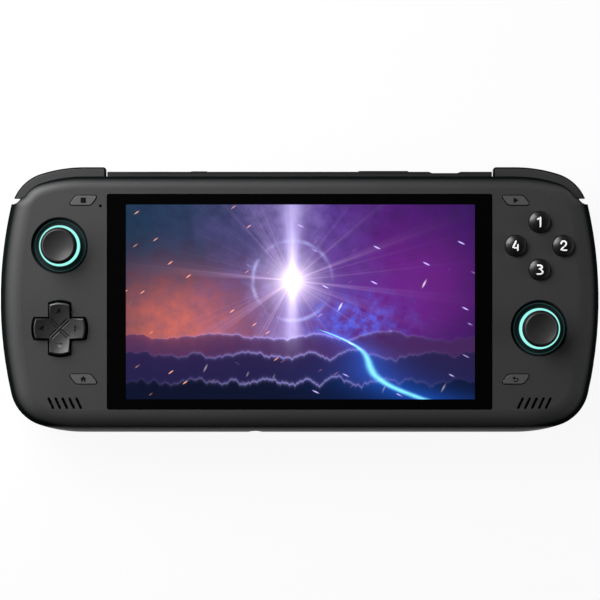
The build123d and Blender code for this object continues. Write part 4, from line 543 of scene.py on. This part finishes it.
def withRiver(graph, look, x, y, wisp, color):
    # a river of blue light: its middle leans and swings as a sine of the way down, and it widens
    river = look["river"]
    fall = river["top"] - y
    middle = river["start"] + fall * river["lean"] + (fall / river["bend"]).math("SINE") * river["swing"]
    width = river["width"] + fall.math("MAXIMUM", 0.0) * river["widening"]
    bank = (x - middle) / width
    spill = bank.math("ABSOLUTE").fade(river["spillReach"]) * fall.step(0.0, river["spillFadeIn"])
    color = graph.mix(spill * river["spillPower"], color, look["glow"]["color"], "ADD")
    light = bank.bell() * fall.step(0.0, river["fadeIn"])
    light = light * (river["share"][0] + wisp * river["share"][1])
    return graph.mix(light, color, river["color"], "ADD")


def withSparks(graph, look, x, y, flat, color):
    # sparks: short dashes, where a stretched cell pattern comes near its points
    for spark in look["sparks"]:
        cosine, sine = math.cos(spark["turn"]), math.sin(spark["turn"])
        u = (x * cosine + y * sine) / look["sparkStretch"]
        v = y * cosine - x * sine
        lines = graph.add("ShaderNodeCombineXYZ", None, [u, v, 0.0])
        dot = graph.cells(lines, spark["size"]).step(*look["sparkFade"])
        chosen = graph.noise(flat, *look["sparkNoise"])
        chosen = chosen.step(spark["share"], spark["share"] + look["sparkSoft"])
        side = (x * spark["side"] * look["sideSlope"] + look["sideShare"]).step(0.0, 1.0)
        color = graph.mix(dot * chosen * side * look["sparkPower"], color, spark["color"], "ADD")
    return color


def pictureMaterial(name, look):
    # dark glass; its lit area glows with an abstract evening sky over layered hills
    material, graph = newMaterial(name)
    spot, (px, py, pz) = graph.place()
    x = px - look["centre"][0]
    y = py - look["centre"][1]
    flat = graph.add("ShaderNodeCombineXYZ", None, [x, y, 0.0])
    cloud = graph.noise(flat, *look["cloudNoise"])
    wisp = graph.noise(flat, *look["wispNoise"])
    color = withSky(graph, look, x, y, cloud, wisp)
    color = withBurst(graph, look["burst"], x, y, cloud, wisp, color)
    color = withHills(graph, look, x, y, color)
    color = withRiver(graph, look, x, y, wisp, color)
    color = withSparks(graph, look, x, y, flat, color)
    wide, high = look["size"]
    lit = x.within(wide / 2, look["edge"]) * y.within(high / 2, look["edge"]) * pz.step(*look["front"])
    smear = graph.noise(spot, *look["smearNoise"])
    finishSurface(
        graph, Base_Color=look["border"], Roughness=look["roughness"] + smear * look["smearRough"],
        Specular_IOR_Level=look["specular"],
        Emission_Color=graph.mix(lit, (0.0, 0.0, 0.0), color), Emission_Strength=look["strength"],
    )
    return material


# Metals, boards and the other inner finishes

metalLooks = {
    "satinSteel": {"color": (0.50, 0.51, 0.53), "roughness": 0.30, "stretch": (1.0, 14.0, 1.0)},
    "finAluminium": {"color": (0.62, 0.63, 0.65), "roughness": 0.36, "stretch": (10.0, 1.0, 1.0)},
    "pipeCopper": {"color": (0.72, 0.36, 0.22), "roughness": 0.32, "stretch": (1.0, 1.0, 6.0)},
    "denseBrass": {"color": (0.66, 0.52, 0.26), "roughness": 0.38, "stretch": (1.0, 1.0, 1.0)},
}
metalCommon = {
    "lineNoise": (1.2, 3.0, 0.6), "lineRough": 0.16, "lineDepth": 0.012, "relief": 0.4,
    "tarnishNoise": (6.0, 3.0), "tarnishFade": (0.35, 0.8), "tarnishShade": 0.6, "tarnishShare": 0.3,
    "tarnishRough": 0.12,
}


def metalMaterial(name, look, common):
    # drawn metal: fine lines one way, and a faint cloud of tarnish
    material, graph = newMaterial(name)
    spot = graph.place()[0]
    drawn = graph.add("ShaderNodeVectorMath", {"operation": "MULTIPLY"}, [spot, look["stretch"]])
    lines = graph.noise(drawn, *common["lineNoise"])
    tarnish = graph.noise(spot, *common["tarnishNoise"])
    dull = tuple(part * common["tarnishShade"] for part in look["color"])
    share = tarnish.step(*common["tarnishFade"]) * common["tarnishShare"]
    color = graph.mix(share, look["color"], dull)
    rough = look["roughness"] + (lines - 0.5) * common["lineRough"]
    rough = rough + (tarnish - 0.5) * common["tarnishRough"]
    relief = bumpFrom(graph, lines, common["relief"], common["lineDepth"])
    finishSurface(graph, Base_Color=color, Metallic=1.0, Roughness=rough, Normal=relief)
    return material


metals = {name: metalMaterial(name, look, metalCommon) for name, look in metalLooks.items()}

boardLook = {
    "maskColor": (0.006, 0.030, 0.020), "trackColor": (0.012, 0.060, 0.038), "padColor": (0.60, 0.45, 0.18),
    "tracksPerMm": (2.2, 1.4), "bendSize": 9.0, "bend": (8.0, 6.0), "uprightEdge": (0.40, 0.50),
    "levelEdge": (0.2, 0.3), "trackShare": 0.7, "padsPerMm": 0.45, "padEdge": (0.16, 0.13),
    "padMetal": 0.9, "roughness": 0.42, "padSmooth": 0.12, "relief": 0.5, "reliefDepth": 0.02,
}


def boardMaterial(name, look):
    # circuit board: dark green mask over a grid of tracks, with plated pads
    material, graph = newMaterial(name)
    spot, parts = graph.place()
    bend = graph.noise(spot, look["bendSize"])
    upright = ((parts[0] + bend * look["bend"][0]) * look["tracksPerMm"][0]).math("FRACT")
    level = ((parts[1] - bend * look["bend"][1]) * look["tracksPerMm"][1]).math("FRACT")
    tracks = upright.step(*look["uprightEdge"]) * level.step(*look["levelEdge"])
    plated = graph.cells(spot, 1 / look["padsPerMm"]).step(*look["padEdge"])
    mask = graph.mix(tracks * look["trackShare"], look["maskColor"], look["trackColor"])
    finishSurface(
        graph, Base_Color=graph.mix(plated, mask, look["padColor"]), Metallic=plated * look["padMetal"],
        Roughness=look["roughness"] - plated * look["padSmooth"],
        Normal=bumpFrom(graph, tracks + plated, look["relief"], look["reliefDepth"]),
    )
    return material


cloudLooks = {
    "batteryWrap": {
        "dark": (0.035, 0.036, 0.040), "pale": (0.075, 0.077, 0.082), "noise": (7.0, 4.0, 0.6),
        "roughness": 0.38, "roughSpread": 0.2, "relief": 0.5, "depth": 0.12,
    },
    "matSilicone": {
        "dark": (0.30, 0.31, 0.32), "pale": (0.42, 0.43, 0.44), "noise": (2.4, 3.0),
        "roughness": 0.55, "roughSpread": 0.15, "relief": 0.4, "depth": 0.03,
    },
}


def cloudMaterial(name, look):
    # the battery's foil wrap and the button mats: two tones, and a relief from the same noise
    material, graph = newMaterial(name)
    cloud = graph.noise(graph.place()[0], *look["noise"])
    finishSurface(
        graph, Base_Color=graph.mix(cloud, look["dark"], look["pale"]),
        Roughness=look["roughness"] + (cloud - 0.5) * look["roughSpread"],
        Normal=bumpFrom(graph, cloud, look["relief"], look["depth"]),
    )
    return material


paintLooks = {
    # the white ink's glow is painted light, so that it reads brighter
    "whiteInk": {"color": (0.96, 0.96, 0.97), "roughness": 0.4, "specular": 0.5, "glow": 0.3},
    "darkInk": {"color": (0.006, 0.006, 0.006), "roughness": 0.7, "specular": 0.05, "glow": 0.0},
    # the microphone's cloth is dark, and made near black and shineless as painted shade for its hole
    "micClothShade": {"color": (0.002, 0.002, 0.002), "roughness": 0.8, "specular": 0.0, "glow": 0.0},
}
paintCommon = {"cloudSize": 0.5, "cloudShare": 0.2, "cloudShade": 0.8, "roughSpread": 0.1}


def paintMaterial(name, look, common):
    # slightly uneven ink or cloth; the white ink's glow is painted light, and the cloth's near black is
    # painted shade
    material, graph = newMaterial(name)
    cloud = graph.noise(graph.place()[0], common["cloudSize"])
    shade = tuple(part * common["cloudShade"] for part in look["color"])
    tone = graph.mix(cloud * common["cloudShare"], look["color"], shade)
    finishSurface(
        graph, Base_Color=tone, Roughness=look["roughness"] + (cloud - 0.5) * common["roughSpread"],
        Specular_IOR_Level=look["specular"], Emission_Color=tone, Emission_Strength=look["glow"],
    )
    return material


finishes = {
    **plastics, **metals,
    **{name: cloudMaterial(name, look) for name, look in cloudLooks.items()},
    **{name: paintMaterial(name, look, paintCommon) for name, look in paintLooks.items()},
    "capRubber": capMaterial("capRubber", capLook), "lightGuide": lightMaterial("lightGuide", lightLook),
    "litGlass": pictureMaterial("litGlass", pictureLook),
    "circuitBoard": boardMaterial("circuitBoard", boardLook),
}
print("finishes made:", len(finishes))

# Which finish each node of the frame gets: by its name, or else by its material slot in the record
slotFinish = {
    "case": "shellPlastic", "glass": "litGlass", "display": "innerPlastic", "key": "keyPlastic",
    "dome": "domePlastic", "stick": "capRubber", "light": "lightGuide", "insert": "insertPlastic",
    "steel": "satinSteel", "aluminium": "finAluminium", "copper": "pipeCopper", "board": "circuitBoard",
    "battery": "batteryWrap", "inner_plastic": "innerPlastic", "rubber": "matSilicone",
    "brass": "denseBrass",
}
nodeFinish = {
    "dpad_cross": "padPlastic", "left_bumper": "bumperPlastic", "right_bumper": "bumperPlastic",
    "left_trigger": "coverPlastic", "right_trigger": "coverPlastic", "rear_cover": "coverPlastic",
    "microphone": "micClothShade",
}
for subpart in frame["record"]["subparts"]:
    nodeName = subpart["node"]
    finishName = nodeFinish.get(nodeName, slotFinish[subpart["material_slot"]])
    mesh = nodes[nodeName].data
    mesh.materials.clear()
    mesh.materials.append(finishes[finishName])
print("finishes given to the nodes")


# Marks on the buttons and keys

markLook = {
    "numeralHeight": 3.9, "numeralStroke": 0.64, "numeralLift": 0.03, "sink": 0.06,
    "iconSize": 1.12, "iconStroke": 0.42, "iconLift": 0.015, "domeRadius": 3.9, "domeRise": 0.8,
    "rows": 26, "endRows": 7, "pathSteps": 400, "shoulders": (0.4, 0.9, 1.0), "mergeReach": 0.0001,
}


def bezier(points, count):
    # the Bernstein sum of the control points at even steps of the parameter
    order = len(points) - 1
    t = np.linspace(0.0, 1.0, count)[:, None]
    weights = [math.comb(order, i) * t**i * (1 - t) ** (order - i) for i in range(order + 1)]
    return sum(weight * np.array(point) for weight, point in zip(weights, points))


def strokeBand(points, width, heightAt, lift):
    # a band along a curve, with round ends: at each step the half width is that of a circle near the
    # ends, and the section is a flat top with bevelled shoulders that go down into what carries it
    path = bezier(points, markLook["pathSteps"])
    gaps = np.linalg.norm(np.diff(path, axis=0), axis=1)
    run = np.concatenate([[0.0], np.cumsum(gaps)])
    half = width / 2
    end = half * (1 - np.cos(np.linspace(0.0, math.pi / 2, markLook["endRows"])))
    inner = np.linspace(0, run[-1], markLook["rows"])[1:-1]
    along = np.concatenate([end - half, inner, run[-1] + half - end[::-1]])
    held = np.clip(along, 0.0, run[-1])
    beyond = along - held
    spread = np.sqrt(np.maximum(half**2 - beyond**2, 0.0))
    middle = np.stack([np.interp(held, run, path[:, axis]) for axis in (0, 1)], axis=1)
    slope = np.stack([np.interp(held, run, np.gradient(path[:, axis], run)) for axis in (0, 1)], axis=1)
    slope = slope / np.linalg.norm(slope, axis=1, keepdims=True)
    side = np.stack([-slope[:, 1], slope[:, 0]], axis=1)
    middle = middle + slope * beyond[:, None]
    near, wide, full = markLook["shoulders"]
    across = np.array([-full, -wide, -near, near, wide, full])
    rise = np.array([-markLook["sink"], lift, lift, lift, lift, -markLook["sink"]])
    flat = middle[:, None, :] + side[:, None, :] * (spread[:, None] * across)[:, :, None]
    height = heightAt(flat[..., 0], flat[..., 1]) + rise
    grid = np.concatenate([flat, height[..., None]], axis=2)
    count, ring = grid.shape[:2]
    faces = [
        (i * ring + j, i * ring + (j + 1) % ring, (i + 1) * ring + (j + 1) % ring, (i + 1) * ring + j)
        for i in range(count - 1) for j in range(ring)
    ]
    return grid.reshape(-1, 3), faces


def plate(outline, low, high):
    # an outline as a thin plate: its points at two heights, two caps and a wall
    count = len(outline)
    ring = np.array(outline, float)
    top = np.concatenate([ring, np.full((count, 1), high)], axis=1)
    bottom = np.concatenate([ring, np.full((count, 1), low)], axis=1)
    wall = [(i, (i + 1) % count, count + (i + 1) % count, count + i) for i in range(count)]
    faces = [tuple(range(count)), tuple(range(2 * count - 1, count - 1, -1))] + wall
    return np.concatenate([top, bottom]), faces


def joinParts(parts):
    # several vertex lists and face lists as one
    vertices, faces, start = [], [], 0
    for partVertices, partFaces in parts:
        vertices.append(partVertices)
        faces += [tuple(index + start for index in face) for face in partFaces]
        start += len(partVertices)
    return np.concatenate(vertices), faces


def addPiece(name, parts, body, finish):
    # one mesh from parts in millimetres; doubled points are merged and all faces turned outwards
    vertices, faces = joinParts(parts)
    mesh = bpy.data.meshes.new(name)
    mesh.from_pydata((vertices * mm).tolist(), [], faces)
    mesh.materials.append(finishes[finish])
    work = bmesh.new()
    work.from_mesh(mesh)
    bmesh.ops.remove_doubles(work, verts=work.verts, dist=markLook["mergeReach"] * mm)
    bmesh.ops.recalc_face_normals(work, faces=work.faces)
    work.to_mesh(mesh)
    work.free()
    piece = bpy.data.objects.new(name, mesh)
    bpy.context.scene.collection.objects.link(piece)
    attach(piece, body)


def placed(points, node, size):
    # points of a mark on a size of 1, moved onto the middle of a button
    centreX, centreY = topOf(node)[:2]
    return [(centreX + u * size, centreY + v * size) for u, v in points]


def domeOn(node):
    # the height of a sphere's crown over the plane: its centre plus the root of its radius squared
    # less the distance squared
    centreX, centreY, topZ = topOf(node)
    radius = (markLook["domeRadius"] ** 2 + markLook["domeRise"] ** 2) / (2 * markLook["domeRise"])
    return lambda u, v: topZ - radius + np.sqrt(radius**2 - (u - centreX) ** 2 - (v - centreY) ** 2)


# The four numerals, as strokes on a height of 1
numeralStrokes = {
    "1": [[(-0.20, 0.27), (-0.12, 0.33)], [(0.05, 0.42), (0.05, -0.42)]],
    "2": [
        [(-0.24, 0.22), (-0.22, 0.58), (0.34, 0.56), (0.34, 0.16), (0.12, -0.02)],
        [(-0.04, -0.14), (-0.24, -0.36)], [(-0.08, -0.42), (0.27, -0.42)],
    ],
    "3": [
        [(-0.22, 0.42), (0.30, 0.46), (0.36, 0.10), (-0.04, 0.07)],
        [(0.14, -0.06), (0.46, -0.22), (0.20, -0.50), (-0.24, -0.42)],
    ],
    "4": [
        [(-0.02, 0.42), (-0.28, -0.14)], [(-0.12, -0.20), (0.02, -0.20)],
        [(0.17, 0.08), (0.17, -0.42)],
    ],
}
buttonNumerals = {"top": "1", "right": "2", "bottom": "3", "left": "4"}
for placeName, digit in buttonNumerals.items():
    buttonNode = f"face_button_{placeName}"
    strokes = [
        strokeBand(
            placed(stroke, buttonNode, markLook["numeralHeight"]), markLook["numeralStroke"],
            domeOn(buttonNode), markLook["numeralLift"],
        )
        for stroke in numeralStrokes[digit]
    ]
    addPiece(f"numeral_{placeName}", strokes, f"face_{placeName}_body", "whiteInk")

# Signs on the four keys: a square, a triangle, a house and a turning arrow
iconOutlines = {
    "select": [[(-0.9, -0.9), (0.9, -0.9), (0.9, 0.9), (-0.9, 0.9)]],
    "start": [[(-0.75, -0.95), (0.95, 0.0), (-0.75, 0.95)]],
    "home": [[
        (-1.15, -0.02), (-0.72, -0.02), (-0.72, -0.95), (-0.24, -0.95), (-0.24, -0.38), (0.24, -0.38),
        (0.24, -0.95), (0.72, -0.95), (0.72, -0.02), (1.15, -0.02), (0.0, 1.0),
    ]],
    "back": [[(-1.15, 0.30), (-0.35, 0.98), (-0.35, -0.38)]],
}
iconStrokes = {"back": [[(-0.35, 0.30), (0.60, 0.46), (1.35, -0.25), (0.55, -1.05), (-0.55, -0.75)]]}
for keyName, outlines in iconOutlines.items():
    keyNode = f"{keyName}_button"
    keyTop = topOf(keyNode)[2]
    flatParts = [
        plate(
            placed(outline, keyNode, markLook["iconSize"]), keyTop - markLook["sink"],
            keyTop + markLook["iconLift"],
        )
        for outline in outlines
    ]
    flatParts += [
        strokeBand(
            placed(stroke, keyNode, markLook["iconSize"]), markLook["iconStroke"],
            lambda u, v: np.full(u.shape, keyTop), markLook["iconLift"],
        )
        for stroke in iconStrokes.get(keyName, [])
    ]
    addPiece(f"sign_{keyName}", flatParts, f"{keyName}_body", "darkInk")
print("marks made")


# Floor, lamps, world and camera; the floor's size is in metres, its gap below the grips in millimetres

stageLook = {
    "floorSize": 3.0, "floorGap": 0.05, "floorColor": (0.85, 0.85, 0.85), "whiteShare": 0.92,
    "ambient": 0.045, "ceiling": 0.012, "wallTop": (0.30, 0.10), "wallSide": (0.30, 0.80),
}


def rayKinds(graph):
    # camera rays, and rays that are mirrored or go through glass
    kinds = ("Camera", "Glossy", "Transmission")
    camera, glossy, clear = [graph.add("ShaderNodeLightPath", output=f"Is {kind} Ray") for kind in kinds]
    return camera, glossy.math("MAXIMUM", clear)


halfFloor = stageLook["floorSize"] / 2
floorZ = -stageLook["floorGap"] * mm     # a gap, so that the floor and the grips share no plane
floorCorners = [(u * halfFloor, v * halfFloor, floorZ) for u, v in ((-1, -1), (1, -1), (1, 1), (-1, 1))]
floorMesh = bpy.data.meshes.new("floor")
floorMesh.from_pydata(floorCorners, [], [(0, 1, 2, 3)])
floor = bpy.data.objects.new("floor", floorMesh)
bpy.context.scene.collection.objects.link(floor)
floorMaterial, floorGraph = newMaterial("paleFloor")
camera, mirrored = rayKinds(floorGraph)
matt = floorGraph.add("ShaderNodeBsdfDiffuse", None, {"Color": stageLook["floorColor"]})
white = floorGraph.add("ShaderNodeEmission", None, {"Color": (1.0, 1.0, 1.0), "Strength": 1.0})
seen = camera.math("MAXIMUM", mirrored) * stageLook["whiteShare"]
floorShader = floorGraph.add("ShaderNodeMixShader", None, [seen, matt, white])
floorGraph.add("ShaderNodeOutputMaterial", None, [floorShader])
floorMesh.materials.append(floorMaterial)

# The world: white for the camera; in mirrors white walls left and right under a dark ceiling; else dim
world = bpy.data.worlds.new("studio")
world.use_nodes = True
bpy.context.scene.world = world
worldGraph = Graph(world.node_tree)
camera, mirrored = rayKinds(worldGraph)
direction = worldGraph.add("ShaderNodeTexCoord", output="Generated")
upward = worldGraph.add("ShaderNodeSeparateXYZ", None, [direction], 2)
sideways = worldGraph.add("ShaderNodeSeparateXYZ", None, [direction], 0).math("ABSOLUTE")
around = upward.step(*stageLook["wallTop"]) * sideways.step(*stageLook["wallSide"])
around = around.math("MAXIMUM", stageLook["ceiling"])
level = camera.math("MAXIMUM", mirrored * around + (1 - mirrored) * stageLook["ambient"])
tone = worldGraph.add("ShaderNodeCombineColor", None, [level] * 3)
backdrop = worldGraph.add("ShaderNodeBackground", None, {"Color": tone, "Strength": 1.0})
worldGraph.add("ShaderNodeOutputWorld", None, [backdrop])

# The lamps' places and sizes are in metres; the two weak ones leave no glare on the glass
lamps = {
    "keySoftbox": {
        "at": (-0.31, 0.335, 0.212), "aim": (-0.02, 0.0, 0.02),
        "size": 0.42, "power": 5.0, "mirrored": True,
    },
    "sideSoftbox": {
        "at": (-0.50, 0.04, 0.20), "aim": (0.0, 0.0, 0.02),
        "size": 0.30, "power": 1.8, "mirrored": False,
    },
    "farSoftbox": {
        "at": (0.50, -0.02, 0.085), "aim": (0.08, 0.0, 0.02),
        "size": 0.12, "power": 1.2, "mirrored": False,
    },
}
for lampName, lamp in lamps.items():
    lampData = bpy.data.lights.new(lampName, "AREA")
    lampData.shape = "SQUARE"
    lampData.size = lamp["size"]
    lampData.energy = lamp["power"]
    lampObject = bpy.data.objects.new(lampName, lampData)
    bpy.context.scene.collection.objects.link(lampObject)
    lampObject.visible_glossy = lamp["mirrored"]
    lampObject.location = lamp["at"]
    lampObject.rotation_mode = "QUATERNION"
    lampObject.rotation_quaternion = (Vector(lamp["aim"]) - Vector(lamp["at"])).to_track_quat("-Z", "Y")

# The camera looks straight down, as the photograph does; its lengths are in millimetres
cameraLook = {
    "millimetresPerPixel": 0.3764, "photoPixels": 600, "distance": 850.0, "frontHeight": 23.0,
    "centre": (0.15, -0.23), "sensor": 36.0,
}
frameWidth = cameraLook["millimetresPerPixel"] * cameraLook["photoPixels"]
cameraData = bpy.data.cameras.new("camera")
cameraData.sensor_width = cameraLook["sensor"]
cameraData.lens = cameraLook["sensor"] * cameraLook["distance"] / frameWidth
cameraObject = bpy.data.objects.new("camera", cameraData)
bpy.context.scene.collection.objects.link(cameraObject)
cameraHeight = cameraLook["distance"] + cameraLook["frontHeight"]
cameraObject.location = Vector((*cameraLook["centre"], cameraHeight)) * mm
bpy.context.scene.camera = cameraObject
bpy.context.scene.view_settings.view_transform = "Standard"
print("stage made")
